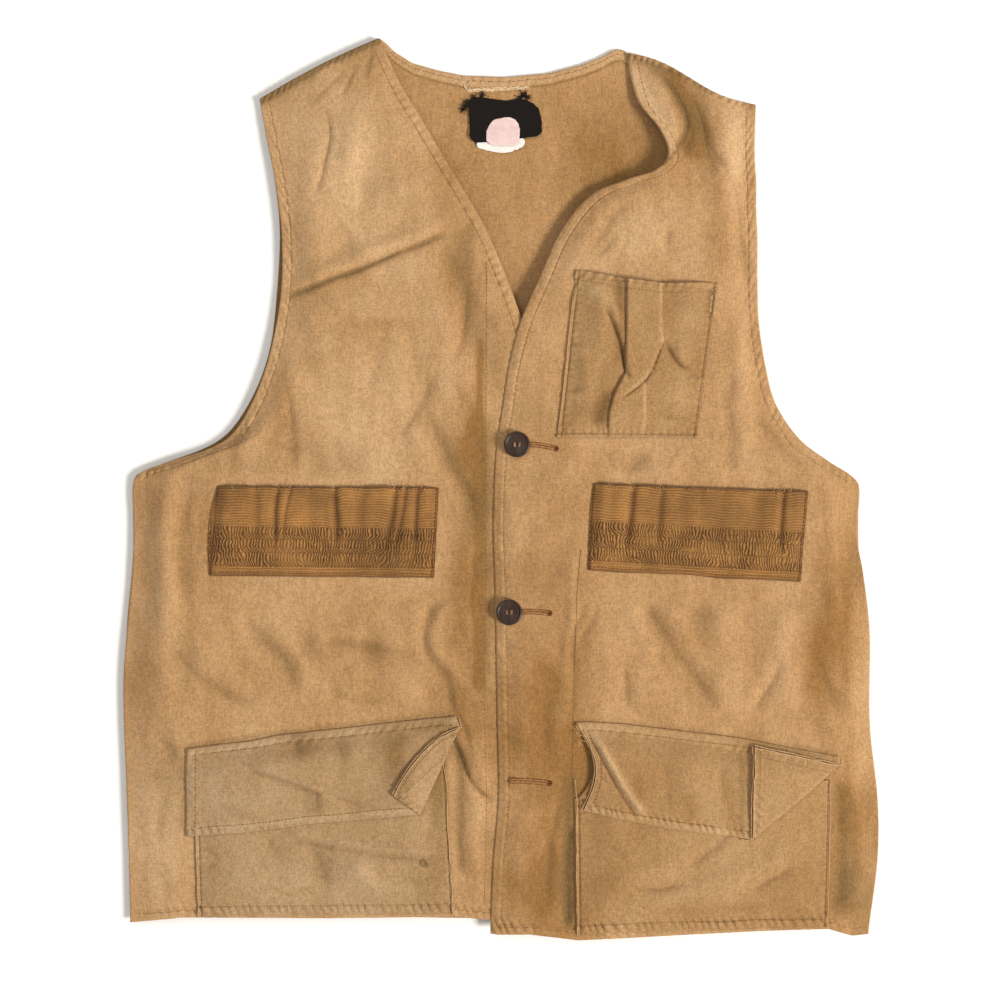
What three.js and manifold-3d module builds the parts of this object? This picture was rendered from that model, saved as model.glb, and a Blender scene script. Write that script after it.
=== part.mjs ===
import * as THREE from 'three';
import Module from 'manifold-3d';

// Hunting vest of cotton canvas, lying on its back with the front up and buttoned.
// Millimetres. X runs to the right as seen from above, Y towards the neck, Z up.

const wasm = await Module();
wasm.setup();

// Cloth and seams
const CANVAS = 1.5;
const HEM_TURN = 0.8;
const HEM_WIDTH = 9;
const GAP = 0.35;
const SEAM_TOP = 4.5;
const SIDE_TURN = 32;
const EDGE_TURN = 20;

// Heights of the fronts above the surface
const FRONT_HEIGHT = 14;
const HEM_DROP = 4;
const HEM_LINE = -340;
const HEM_SLOPE = 80;
const LAP_LIFT = 4.2;
const LAP_EDGE = -9;
const LAP_END = 112;

// Pockets, flaps and cartridge bands
const POCKET_RISE = 7;
const POCKET_TURN = 34;
const CHEST_RISE = 6.5;
const CHEST_TURN = 24;
const PLEAT_RISE = 2.6;
const FLAP_TURN = 13;
const FLAP_CLEAR = 1.3;
const CORNER_CLEAR = 0.6;
const CORNER_SPRING = 4;
const BAND = 1.6;
const BAND_RISE = 6.2;
const BAND_LOOPS = 6;
const BAND_FOOT = 24;

// Buttons and label
const BUTTON_RADIUS = 10;
const BUTTON_THICK = 3.4;
const BUTTON_DISH = 1.2;
const BUTTON_STAND = 1.4;
const HOLE_RADIUS = 1.1;
const HOLE_OFFSET = 2.3;
const THREAD_RADIUS = 0.65;
const SLOT_LENGTH = 30;
const SLOT_WIDTH = 3.4;
const LABEL = 1.0;

const SEAM_BACK = SEAM_TOP - CANVAS / 2;
const SEAM_FRONT = SEAM_TOP + GAP + CANVAS / 2;
const BACK_FLAT = CANVAS / 2;

function table(names, rows) {
  const keys = names.split(' ');
  return rows.map((row) => Object.fromEntries(keys.map((key, k) => [key, row[k]])));
}

// Rows of the front under the lap, from the hem to the shoulder.
// The side end lies on the side seam and the armhole, the edge end on the front edge and the neckline.
const FRONT_RIGHT_ROWS = table('sideX sideY sideZ edgeX edgeY edgeZ seam', [
  [-287, -334, SEAM_FRONT, 32, -333, 10.1, 0],
  [-287, -324, SEAM_FRONT, 32, -323, 10.5, 0],
  [-288, -280, SEAM_FRONT, 32, -280, 13.4, 0],
  [-290, -223, SEAM_FRONT, 32, -223, 14, 0],
  [-292, -146, SEAM_FRONT, 32, -146, 14, 0],
  [-286, -77, SEAM_FRONT, 32, -80, 14, 0],
  [-284, -30, SEAM_FRONT, 32, -34, 14, 0],
  [-285, 0, SEAM_FRONT, 32, 4, 14, 0],
  [-279, 9, SEAM_FRONT + 0.4, 32, 26, 14, 0],
  [-253, 18, 8, 31, 46, 14, 0],
  [-221, 30, 10, 29, 72, 14, 0],
  [-201, 46, 11, 25, 94, 13.5, 0],
  [-184, 76, 11.5, 18, 120, 13, 0],
  [-173, 112, 12, 4, 160, 12.5, 0],
  [-168, 155, 12, -14, 202, 12, 0],
  [-170, 200, 11.5, -39, 245, 12, 0],
  [-175, 238, 10.5, -62, 284, 12, 0.1],
  [-181, 268, 8, -79, 313, 10.5, 0.45],
  [-187, 298, SEAM_FRONT, -95, 345, SEAM_FRONT, 1],
]);

const FRONT_LEFT_ROWS = table('sideX sideY sideZ edgeX edgeY edgeZ seam', [
  [282, -343, SEAM_FRONT, -9, -342, 14.2, 0],
  [283, -333, SEAM_FRONT, -9, -332, 14.3, 0],
  [289, -285, SEAM_FRONT, -7, -285, 17.3, 0],
  [289, -239, SEAM_FRONT, -3, -235, 18.2, 0],
  [283, -180, SEAM_FRONT, -4, -175, 18.2, 0],
  [283, -112, SEAM_FRONT, -5, -108, 18.2, 0],
  [278, -66, SEAM_FRONT, -6, -64, 18.2, 0],
  [273, -36, SEAM_FRONT, -7, -30, 18.2, 0],
  [275, -2, SEAM_FRONT, -6, 8, 18.2, 0],
  [270, 9, SEAM_FRONT + 0.4, -4, 36, 18.2, 0],
  [250, 22, 8, 0, 62, 18.2, 0],
  [228, 39, 10, 5, 94, 18.2, 0],
  [210, 66, 11, 14, 128, 17.6, 0],
  [202, 96, 11.5, 29, 163, 16.8, 0],
  [197, 130, 12, 45, 198, 15, 0],
  [196, 164, 12, 68, 226, 15, 0],
  [196, 194, 12, 96, 238, 17, 0],
  [195, 216, 12, 118, 245, 20, 0],
  [195, 236, 12, 127, 258, 18, 0],
  [194, 254, 11, 120, 277, 13, 0],
  [194, 270, 9, 104, 300, 9, 0.25],
  [195, 296, SEAM_FRONT, 96, 336, SEAM_FRONT, 1],
]);

// Rows of the back, from the hem to the shoulders; the top row is raised to the neckline below.
const BACK_ROWS = table('leftX leftY leftZ rightX rightY rightZ', [
  [-284, -328, SEAM_BACK, 280, -336, SEAM_BACK],
  [-285, -318, SEAM_BACK, 281, -324, SEAM_BACK],
  [-288, -270, SEAM_BACK, 289, -270, SEAM_BACK],
  [-291, -180, SEAM_BACK, 283, -180, SEAM_BACK],
  [-290, -110, SEAM_BACK, 282, -110, SEAM_BACK],
  [-285, -50, SEAM_BACK, 275, -50, SEAM_BACK],
  [-285, 2, SEAM_BACK, 274, 0, SEAM_BACK],
  [-280, 12, 2.8, 268, 10, 2.8],
  [-258, 21, 1.2, 248, 22, 1.2],
  [-227, 33, BACK_FLAT, 226, 39, BACK_FLAT],
  [-208, 48, BACK_FLAT, 208, 66, BACK_FLAT],
  [-190, 78, BACK_FLAT, 200, 96, BACK_FLAT],
  [-179, 112, BACK_FLAT, 195, 130, BACK_FLAT],
  [-174, 155, BACK_FLAT, 194, 164, BACK_FLAT],
  [-172, 200, BACK_FLAT, 194, 205, BACK_FLAT],
  [-176, 240, BACK_FLAT, 193, 240, BACK_FLAT],
  [-182, 274, BACK_FLAT, 193, 272, BACK_FLAT],
  [-187, 298, SEAM_BACK, 195, 296, SEAM_BACK],
]);

// How far the shoulders and the neckline stand above the line from armhole to armhole.
const NECK_CURVE = table('x rise', [
  [-187, 0],
  [-95, 48],
  [-84, 41],
  [-70, 32],
  [-50, 26],
  [-30, 22],
  [2, 21],
  [36, 24],
  [62, 31],
  [82, 39],
  [96, 40],
  [195, 0],
]);
const NECK_START = 190;
const NECK_TOP = 297;
const SHOULDER_LEFT = -95;
const SHOULDER_RIGHT = 96;

// How the hems wander from the straight line between their ends.
const HEM_RIGHT_WAVE = table('x rise', [[-287, 0], [-247, 5], [-132, 4], [-36, 5], [-10, 2], [32, 0]]);
const HEM_LEFT_WAVE = table('x rise', [
  [-9, 0],
  [21, 1],
  [58, -4],
  [105, -2],
  [194, 3],
  [251, 5],
  [270, -1],
  [282, 0],
]);

// Folds of the fronts: from one end to the other, half width, and rise at the crest.
const FOLDS = table('x1 y1 x2 y2 half rise', [
  [-158, 146, -44, 183, 10, 6],
  [-146, 168, -60, 194, 8, -3],
  [-138, 300, -136, 338, 7, 2.5],
  [-136, 218, -137, 292, 6, -2.6],
  [-120, 226, -112, 300, 9, 2],
  [-40, 190, -17, 118, 11, -2.6],
  [-70, 180, -30, 60, 14, 2.4],
  [-166, 82, -168, 8, 6, -2.4],
  [-186, 68, -197, 30, 8, 2.4],
  [-258, -2, -262, -130, 13, 3],
  [-240, 8, -246, -90, 9, -2.2],
  [-30, 40, -24, -70, 9, 2.2],
  [-56, -80, -66, -150, 10, 3],
  [-60, -112, -38, -178, 5, -3.4],
  [-130, -84, -92, -160, 13, 3.2],
  [-196, -84, -168, -166, 12, 3],
  [-222, -90, -208, -170, 8, -2.6],
  [-262, -180, -258, -320, 9, -2.6],
  [-36, -110, -27, -168, 8, 1.8],
  [113, 324, 133, 305, 9, 5],
  [133, 305, 141, 282, 9, 8],
  [141, 282, 135, 262, 8, 8],
  [150, 320, 160, 235, 9, -2.6],
  [176, 296, 178, 190, 11, 2],
  [183, 160, 184, 40, 8, 2.6],
  [174, 90, 172, 10, 6, -2],
  [50, 20, 84, 6, 7, 2],
  [252, 8, 250, -90, 10, 2.6],
  [92, -82, 104, -172, 11, 3.2],
  [132, -80, 126, -172, 9, -2.6],
  [168, -80, 170, -174, 13, 3.4],
  [214, -82, 222, -184, 11, 3],
  [240, -60, 262, -205, 9, -3],
  [266, -120, 272, -300, 9, 2.6],
  [40, -120, 42, -320, 7, -2.2],
  [16, -140, 18, -320, 10, 1.6],
]);
const FOLD_FADE = 0.28;

// Places where a pocket or a band holds the cloth flat.
const CALM = table('x1 x2 y1 y2', [
  [40, 167, 36, 170],
  [-230, -42, -82, 6],
  [62, 244, -84, 8],
  [-244, -30, -345, -170],
  [50, 262, -350, -175],
  [-8, 42, 22, 44],
  [-8, 42, -106, -84],
  [-8, 42, -236, -212],
]);
const CALM_FADE = 12;

// Button places on the lapping front, and the empty third buttonhole.
const BUTTONS = table('name x y', [['upper', 11, 34], ['middle', 5, -94]]);
const SLOTS = table('x y', [[11, 34], [5, -94], [7, -224]]);

function ease(value) {
  const t = Math.min(Math.max(value, 0), 1);
  return t * t * (3 - 2 * t);
}

function readTable(rows, x) {
  const last = rows.length - 1;
  if (x <= rows[0].x) return rows[0].rise;
  if (x >= rows[last].x) return rows[last].rise;
  const k = rows.findIndex((row, n) => n > 0 && x <= row.x);
  const t = (x - rows[k - 1].x) / (rows[k].x - rows[k - 1].x);
  return rows[k - 1].rise + t * (rows[k].rise - rows[k - 1].rise);
}

function calmAt(x, y) {
  let calm = 0;
  for (const area of CALM) {
    const outX = Math.max(area.x1 - x, x - area.x2, 0);
    const outY = Math.max(area.y1 - y, y - area.y2, 0);
    calm = Math.max(calm, 1 - ease(Math.hypot(outX, outY) / CALM_FADE));
  }
  return calm;
}

function foldHeight(folds, x, y) {
  let height = 0;
  for (const fold of folds) {
    const alongX = fold.x2 - fold.x1;
    const alongY = fold.y2 - fold.y1;
    const length = Math.hypot(alongX, alongY);
    const t = ((x - fold.x1) * alongX + (y - fold.y1) * alongY) / (length * length);
    const across = ((x - fold.x1) * alongY - (y - fold.y1) * alongX) / length;
    const ends = ease((t + FOLD_FADE) / (2 * FOLD_FADE)) * ease((1 + FOLD_FADE - t) / (2 * FOLD_FADE));
    height += fold.rise * ends * Math.exp(-((across / fold.half) ** 2));
  }
  return height;
}

function frontHeight(x, y) {
  const crown = FRONT_HEIGHT - HEM_DROP * (1 - ease((y - HEM_LINE) / HEM_SLOPE));
  return crown + foldHeight(FOLDS, x, y) * (1 - calmAt(x, y));
}

function lapHeight(x, y) {
  const slope = Math.min(Math.max((LAP_END - x) / (LAP_END - LAP_EDGE), 0), 1);
  return frontHeight(x, y) + LAP_LIFT * slope;
}

// A smooth curve through the rows, read at a row number with a fraction.
function rowAt(rows, place) {
  const last = rows.length - 1;
  const k = Math.min(Math.floor(place), last - 1);
  const t = place - k;
  const four = [rows[Math.max(k - 1, 0)], rows[k], rows[k + 1], rows[Math.min(k + 2, last)]];
  const row = {};
  for (const key of Object.keys(rows[0])) {
    const [a, b, c, d] = four.map((one) => one[key]);
    const bend = (2 * a - 5 * b + 4 * c - d) * t * t + (3 * b - 3 * c + d - a) * t * t * t;
    row[key] = b + 0.5 * ((c - a) * t + bend);
  }
  return row;
}

// A closed wall between an upper and a lower grid of points.
function gridWall(upper, lower) {
  const rows = upper.length;
  const columns = upper[0].length;
  const points = [];
  const faces = [];
  const put = (p) => points.push(p[0], p[1], p[2]);
  upper.forEach((row) => row.forEach(put));
  lower.forEach((row) => row.forEach(put));
  const under = rows * columns;
  const at = (j, i) => j * columns + i;
  const quad = (a, b, c, d) => faces.push(a, b, c, a, c, d);
  const slope = (j1, i1, j2, i2) => Math.abs(upper[j1][i1][2] - upper[j2][i2][2]);
  for (let j = 0; j < rows - 1; j += 1) {
    for (let i = 0; i < columns - 1; i += 1) {
      const corners = [at(j, i), at(j, i + 1), at(j + 1, i + 1), at(j + 1, i)];
      const turned = slope(j, i + 1, j + 1, i) < slope(j, i, j + 1, i + 1);
      const [a, b, c, d] = turned ? [corners[1], corners[2], corners[3], corners[0]] : corners;
      quad(a, b, c, d);
      faces.push(a + under, c + under, b + under, a + under, d + under, c + under);
    }
  }
  const side = (a, b) => quad(b, a, a + under, b + under);
  for (let i = 0; i < columns - 1; i += 1) {
    side(at(0, i), at(0, i + 1));
    side(at(rows - 1, i + 1), at(rows - 1, i));
  }
  for (let j = 0; j < rows - 1; j += 1) {
    side(at(j + 1, 0), at(j, 0));
    side(at(j, columns - 1), at(j + 1, columns - 1));
  }
  const geometry = new THREE.BufferGeometry();
  geometry.setAttribute('position', new THREE.Float32BufferAttribute(points, 3));
  geometry.setIndex(faces);
  return geometry;
}

// Fractions across a row: a hem's width at both ends and even steps between them.
function acrossRow(width, steps) {
  const hem = HEM_WIDTH / width;
  const inner = Array.from({ length: steps + 1 }, (_, k) => hem + ((1 - 2 * hem) * k) / steps);
  return [0, ...inner, 1];
}

function rowPlaces(rows, perRow) {
  const places = [];
  for (let k = 0; k < rows.length - 1; k += 1) {
    const steps = perRow(rows[k], rows[k + 1]);
    for (let s = 0; s < steps; s += 1) places.push(k + s / steps);
  }
  places.push(rows.length - 1);
  return places;
}

function frontPanel(rows, steps, height, hemWave, reverse) {
  const upper = [];
  const lower = [];
  const stepsFor = (a, b) => Math.max(1, Math.round(Math.hypot(a.sideX - b.sideX, a.sideY - b.sideY) / 24));
  for (const place of rowPlaces(rows, stepsFor)) {
    const row = rowAt(rows, place);
    const width = Math.hypot(row.edgeX - row.sideX, row.edgeY - row.sideY);
    const fractions = acrossRow(width, steps);
    const top = [];
    const base = [];
    for (const u of fractions) {
      const x = row.sideX + (row.edgeX - row.sideX) * u;
      const flatY = row.sideY + (row.edgeY - row.sideY) * u;
      const y = flatY + readTable(hemWave, x) * (1 - ease((flatY - HEM_LINE) / 60));
      const bySide = ease((u * width) / SIDE_TURN);
      const byEdge = ease(((1 - u) * width) / EDGE_TURN);
      const open = height(x, y);
      const turned = row.sideZ + (open - row.sideZ) * bySide;
      const rolled = row.edgeZ + (turned - row.edgeZ) * byEdge;
      const z = rolled + (SEAM_FRONT - rolled) * row.seam;
      const hemmed = (place <= 1 && bySide === 1) || u === 1 || u === fractions[fractions.length - 2];
      top.push([x, y, z + CANVAS / 2]);
      base.push([x, y, z - CANVAS / 2 - (hemmed && row.seam === 0 ? HEM_TURN : 0)]);
    }
    upper.push(reverse ? top.reverse() : top);
    lower.push(reverse ? base.reverse() : base);
  }
  return gridWall(upper, lower);
}

function backPanel() {
  const upper = [];
  const lower = [];
  const stepsFor = (a, b) => Math.max(1, Math.round(Math.hypot(a.leftX - b.leftX, a.leftY - b.leftY) / 60));
  const top = BACK_ROWS[BACK_ROWS.length - 1];
  const span = top.rightX - top.leftX;
  const first = (SHOULDER_LEFT - top.leftX) / span;
  const second = (SHOULDER_RIGHT - top.leftX) / span;
  const between = (a, b, steps) => Array.from({ length: steps }, (_, k) => a + ((b - a) * k) / steps);
  const leftPart = [0, 0.03, ...between(0.06, first, 3)];
  const rightPart = [...between(second, 0.94, 3), 0.94, 0.97, 1];
  const fractions = [...leftPart, ...between(first, second, 9), ...rightPart];
  for (const place of rowPlaces(BACK_ROWS, stepsFor)) {
    const row = rowAt(BACK_ROWS, place);
    const width = row.rightX - row.leftX;
    const upperRow = [];
    const lowerRow = [];
    for (const u of fractions) {
      const x = row.leftX + width * u;
      const flatY = row.leftY + (row.rightY - row.leftY) * u;
      const topX = top.leftX + span * u;
      const y = flatY + readTable(NECK_CURVE, topX) * ease((flatY - NECK_START) / (NECK_TOP - NECK_START));
      const byLeft = ease((u * width) / SIDE_TURN);
      const byRight = ease(((1 - u) * width) / SIDE_TURN);
      const leftRoll = (row.leftZ - BACK_FLAT) * (1 - byLeft);
      const rightRoll = (row.rightZ - BACK_FLAT) * (1 - byRight);
      const rolled = BACK_FLAT + leftRoll + rightRoll;
      const onShoulder = u <= first + 1e-6 || u >= second - 1e-6;
      const z = place === BACK_ROWS.length - 1 && onShoulder ? SEAM_BACK : rolled;
      upperRow.push([x, y, z + CANVAS / 2]);
      lowerRow.push([x, y, z - CANVAS / 2]);
    }
    upper.push(upperRow);
    lower.push(lowerRow);
  }
  return gridWall(upper, lower);
}

function toSolid(geometry) {
  const index = geometry.index ? geometry.index.array : null;
  const count = geometry.attributes.position.count;
  const order = index ? Uint32Array.from(index) : Uint32Array.from({ length: count }, (_, k) => k);
  const mesh = new wasm.Mesh({
    numProp: 3,
    vertProperties: Float32Array.from(geometry.attributes.position.array),
    triVerts: order,
  });
  mesh.merge();
  return new wasm.Manifold(mesh);
}

function toGeometry(solid) {
  const mesh = solid.getMesh();
  const geometry = new THREE.BufferGeometry();
  geometry.setAttribute('position', new THREE.Float32BufferAttribute(mesh.vertProperties, 3));
  geometry.setIndex(new THREE.Uint32BufferAttribute(mesh.triVerts, 1));
  return geometry;
}

function outline(points) {
  return new THREE.Shape(points.map(([x, y]) => new THREE.Vector2(x, y)));
}

// A flat piece with the given outline, laid at a height that is a function of x and y.
function clothOver(points, height, thick, cellX, cellY) {
  const xs = points.map((p) => p[0]);
  const ys = points.map((p) => p[1]);
  const [x1, x2] = [Math.min(...xs) - 1, Math.max(...xs) + 1];
  const [y1, y2] = [Math.min(...ys) - 1, Math.max(...ys) + 1];
  const nx = Math.max(1, Math.round((x2 - x1) / cellX));
  const ny = Math.max(1, Math.round((y2 - y1) / cellY));
  const spot = (i, j) => [x1 + ((x2 - x1) * i) / nx, y1 + ((y2 - y1) * j) / ny];
  const slab = toSolid(layers(nx, ny, spot, height, thick));
  const prism = new THREE.ExtrudeGeometry(outline(points), { depth: 120, bevelEnabled: false });
  prism.translate(0, 0, -20);
  return slab.intersect(toSolid(prism));
}

// A wall over a grid of places, half its thickness above and half below the given height.
function layers(nx, ny, spot, height, thick) {
  const point = (i, j, shift) => {
    const [x, y] = spot(i, j);
    return [x, y, height(x, y) + shift];
  };
  const row = (j, shift) => Array.from({ length: nx + 1 }, (_, i) => point(i, j, shift));
  const layer = (shift) => Array.from({ length: ny + 1 }, (_, j) => row(j, shift));
  return gridWall(layer(thick / 2), layer(-thick / 2));
}

// A sewn-on piece: each row of its table is a line from its lower to its top edge,
// with the number of steps to the next line. Bow moves its left end inwards at mid height.
function sewnPiece(lines, ny, height, thick, bow = 0) {
  const stops = [];
  lines.forEach((line, k) => {
    for (let s = 0; s < line.steps; s += 1) {
      const t = s / line.steps;
      const mix = (key) => line[key] + (lines[k + 1][key] - line[key]) * t;
      stops.push({ lowX: mix('lowX'), lowY: mix('lowY'), topX: mix('topX'), topY: mix('topY') });
    }
  });
  stops.push(lines[lines.length - 1]);
  const spot = (i, j) => {
    const line = stops[i];
    const t = j / ny;
    const inward = bow * Math.sin(Math.PI * t) * (1 - Math.min(i / 3, 1));
    return [line.lowX + (line.topX - line.lowX) * t + inward, line.lowY + (line.topY - line.lowY) * t];
  };
  return layers(stops.length - 1, ny, spot, height, thick);
}

function toLine(x, y, a, b) {
  const length = Math.hypot(b[0] - a[0], b[1] - a[1]);
  return ((b[0] - a[0]) * (y - a[1]) - (b[1] - a[1]) * (x - a[0])) / length;
}

// Patch pockets, a line for each side and for each edge of the pleat, from left to right.
const CHEST = table('lowX lowY topX topY steps', [
  [42, 40, 56, 168, 4],
  [80, 40, 95, 160, 3],
  [106, 40, 121, 157, 4],
  [149, 39, 165, 158, 0],
]);
const HIP_RIGHT = table('lowX lowY topX topY steps', [
  [-234, -328, -236, -216, 17],
  [-35, -326, -39, -204, 0],
]);
const HIP_LEFT = table('lowX lowY topX topY steps', [
  [57, -342, 55, -203, 17],
  [250, -336, 252, -224, 0],
]);
const PLEAT = { top: [108, 158], foot: [93, 40], half: 14 };
const HIP_FOLDS = table('x1 y1 x2 y2 half rise', [
  [-206, -300, -150, -316, 9, 2],
  [-120, -290, -60, -316, 10, 2.4],
  [-90, -262, -46, -300, 7, -1.6],
  [90, -256, 150, -300, 9, 2.2],
  [110, -318, 160, -306, 8, 1.8],
  [180, -284, 236, -312, 10, 2.2],
]);

function pocketRise(lines, rise, turn, x, y) {
  const first = lines[0];
  const last = lines[lines.length - 1];
  const a = [first.lowX, first.lowY];
  const b = [last.lowX, last.lowY];
  const c = [last.topX, last.topY];
  const d = [first.topX, first.topY];
  const inner = Math.min(toLine(x, y, a, b), toLine(x, y, b, c), toLine(x, y, d, a));
  return rise * ease(inner / turn);
}

function hipRise(lines, x, y) {
  const swell = pocketRise(lines, POCKET_RISE, POCKET_TURN, x, y);
  return swell + (foldHeight(HIP_FOLDS, x, y) * swell) / POCKET_RISE;
}

function chestRise(x, y) {
  const swell = pocketRise(CHEST, CHEST_RISE, CHEST_TURN, x, y);
  const { top, foot, half } = PLEAT;
  const off = Math.abs(toLine(x, y, foot, top));
  const crumple = 1 + 0.5 * Math.sin((y - 40) / 19);
  return swell + PLEAT_RISE * ease((half + 4 - off) / 8) * (swell / CHEST_RISE) * crumple;
}

const ON_FRONT = CANVAS + GAP;

function chestPocket() {
  return sewnPiece(CHEST, 10, (x, y) => lapHeight(x, y) + ON_FRONT + chestRise(x, y), CANVAS);
}

function hipPocket(lines, height) {
  return sewnPiece(lines, 10, (x, y) => height(x, y) + ON_FRONT + hipRise(lines, x, y), CANVAS);
}

// Flaps, lines from left to right; the last span of the lower edge is the crease of the turned-up corner.
const FLAP_RIGHT = {
  lines: table('lowX lowY topX topY steps', [
    [-242, -266, -242, -199, 6],
    [-155, -256, -148, -186, 6],
    [-65, -248, -62, -177, 4],
    [-38, -190, -36, -174, 0],
  ]),
  bow: 0,
  tip: [-87, -226],
  folds: table('x1 y1 x2 y2 half rise', [[-182, -202, -132, -232, 9, 1.8], [-70, -190, -84, -250, 12, 2]]),
};
const FLAP_LEFT = {
  lines: table('lowX lowY topX topY steps', [
    [62, -240, 56, -180, 6],
    [122, -254, 116, -185, 5],
    [186, -268, 186, -194, 6],
    [257, -217, 257, -206, 0],
  ]),
  bow: 10,
  tip: [190, -197],
  folds: table('x1 y1 x2 y2 half rise', [[76, -196, 104, -250, 10, 4], [60, -224, 74, -246, 8, 2]]),
};

function flapHeight(flap, pocket, height, x, y) {
  const first = flap.lines[0];
  const last = flap.lines[flap.lines.length - 1];
  const down = toLine(x, y, [last.topX, last.topY], [first.topX, first.topY]);
  const ripple = Math.max(foldHeight(flap.folds, x, y), 0);
  const over = hipRise(pocket, x, y) + CANVAS + FLAP_CLEAR + ripple;
  return height(x, y) + ON_FRONT + ease(down / FLAP_TURN) * over;
}

function pocketFlap(flap, pocket, height) {
  const [before, end] = flap.lines.slice(-2);
  const foldA = [before.lowX, before.lowY];
  const foldB = [end.lowX, end.lowY];
  const lay = (x, y) => flapHeight(flap, pocket, height, x, y);
  const away = (x, y) => Math.max(toLine(x, y, foldA, foldB), 0);
  const spring = CORNER_SPRING / away(flap.tip[0], flap.tip[1]);
  const turned = (x, y) => lay(x, y) + CANVAS + CORNER_CLEAR + spring * away(x, y);
  const main = toSolid(sewnPiece(flap.lines, 7, lay, CANVAS, flap.bow));
  const blunt = (from) => [0, 1].map((n) => flap.tip[n] + (from[n] - flap.tip[n]) * 0.04);
  const [tipA, tipB] = [blunt(foldA), blunt(foldB)];
  const corner = table('lowX lowY topX topY steps', [[...foldA, ...tipA, 5], [...foldB, ...tipB, 0]]);
  const over = toSolid(sewnPiece(corner, 5, turned, CANVAS));
  const stops = [0.02, 0.35, 0.68, 0.98].map((t) => {
    const x = foldA[0] + (foldB[0] - foldA[0]) * t;
    const y = foldA[1] + (foldB[1] - foldA[1]) * t;
    return new THREE.Vector3(x, y, lay(x, y) + (CANVAS + CORNER_CLEAR) / 2);
  });
  const path = new THREE.CatmullRomCurve3(stops);
  const crease = new THREE.TubeGeometry(path, 7, CANVAS + CORNER_CLEAR / 2, 6, false);
  return main.add(over).add(capped(crease, stops[0], stops[3]));
}

// A tube with its two ends closed.
function capped(tube, start, end) {
  const radial = tube.parameters.radialSegments;
  const points = Array.from(tube.attributes.position.array);
  const faces = Array.from(tube.index.array);
  const first = points.length / 3;
  points.push(start.x, start.y, start.z, end.x, end.y, end.z);
  const lastRing = first - radial - 1;
  for (let k = 0; k < radial; k += 1) {
    faces.push(first, k, k + 1);
    faces.push(first + 1, lastRing + k + 1, lastRing + k);
  }
  const geometry = new THREE.BufferGeometry();
  geometry.setAttribute('position', new THREE.Float32BufferAttribute(points, 3));
  geometry.setIndex(faces);
  return toSolid(mergePoints(geometry));
}

function flipped(geometry) {
  const faces = Array.from(geometry.index.array);
  for (let k = 0; k < faces.length; k += 3) [faces[k], faces[k + 1]] = [faces[k + 1], faces[k]];
  geometry.setIndex(faces);
  return geometry;
}

// Cartridge bands: tacked between the loops and sewn down along the foot.
const BAND_RIGHT = table('lowX lowY topX topY steps', [[-224, -66, -218, 2, 24], [-53, -68, -49, 1, 0]]);
const BAND_LEFT = table('lowX lowY topX topY steps', [[66, -62, 70, 4, 24], [228, -71, 234, -2, 0]]);

function bandRise(lines, x, y) {
  const [left, right] = lines;
  const fromLeft = toLine(x, y, [left.topX, left.topY], [left.lowX, left.lowY]);
  const fromRight = toLine(x, y, [right.lowX, right.lowY], [right.topX, right.topY]);
  const across = Math.min(Math.max(fromLeft / (fromLeft + fromRight), 0), 1);
  const loop = Math.abs(Math.sin(Math.PI * BAND_LOOPS * across)) ** 0.65;
  const up = toLine(x, y, [left.lowX, left.lowY], [right.lowX, right.lowY]);
  return BAND_RISE * loop * ease(up / BAND_FOOT);
}

function shellBand(lines, height) {
  const lay = (x, y) => height(x, y) + (CANVAS + BAND) / 2 + GAP + bandRise(lines, x, y);
  return sewnPiece(lines, 5, lay, BAND);
}

function post(radius, x, y, z1, z2, sides) {
  const geometry = new THREE.CylinderGeometry(radius, radius, z2 - z1, sides);
  geometry.rotateX(Math.PI / 2);
  geometry.translate(x, y, (z1 + z2) / 2);
  return toSolid(welded(geometry));
}

function welded(geometry) {
  geometry.deleteAttribute('normal');
  geometry.deleteAttribute('uv');
  return mergePoints(geometry);
}

function mergePoints(geometry) {
  const position = geometry.attributes.position;
  const seen = new Map();
  const points = [];
  const faces = [];
  const lookup = Array.from({ length: position.count }, (_, k) => {
    const p = [position.getX(k), position.getY(k), position.getZ(k)];
    const key = p.map((v) => Math.round(v * 1e4)).join(' ');
    if (!seen.has(key)) {
      seen.set(key, points.length / 3);
      points.push(...p);
    }
    return seen.get(key);
  });
  const index = geometry.index.array;
  for (let k = 0; k < index.length; k += 3) {
    const [a, b, c] = [lookup[index[k]], lookup[index[k + 1]], lookup[index[k + 2]]];
    if (a !== b && b !== c && a !== c) faces.push(a, b, c);
  }
  const merged = new THREE.BufferGeometry();
  merged.setAttribute('position', new THREE.Float32BufferAttribute(points, 3));
  merged.setIndex(faces);
  return merged;
}

const HOLES = [[1, 1], [-1, 1], [-1, -1], [1, -1]];

function buttonBase(spot) {
  return lapHeight(spot.x, spot.y) + CANVAS / 2 + BUTTON_STAND;
}

function button(spot) {
  const r = BUTTON_RADIUS;
  const t = BUTTON_THICK;
  const profile = table('out up', [
    [0, 0],
    [r - 2.4, 0],
    [r - 0.5, 0.7],
    [r, t * 0.55],
    [r - 0.7, t],
    [r - 2.2, t],
    [r - 3.2, t - BUTTON_DISH],
    [0, t - BUTTON_DISH],
  ]);
  const lathe = new THREE.LatheGeometry(profile.map((p) => new THREE.Vector2(p.out, p.up)), 22);
  lathe.rotateX(Math.PI / 2);
  const geometry = welded(lathe);
  let solid = toSolid(geometry);
  if (solid.volume() < 0) solid = toSolid(flipped(geometry));
  for (const [sx, sy] of HOLES) {
    const hole = post(HOLE_RADIUS, sx * HOLE_OFFSET, sy * HOLE_OFFSET, -5, 10, 8);
    solid = solid.subtract(hole);
  }
  return solid.translate([spot.x, spot.y, buttonBase(spot)]);
}

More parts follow.
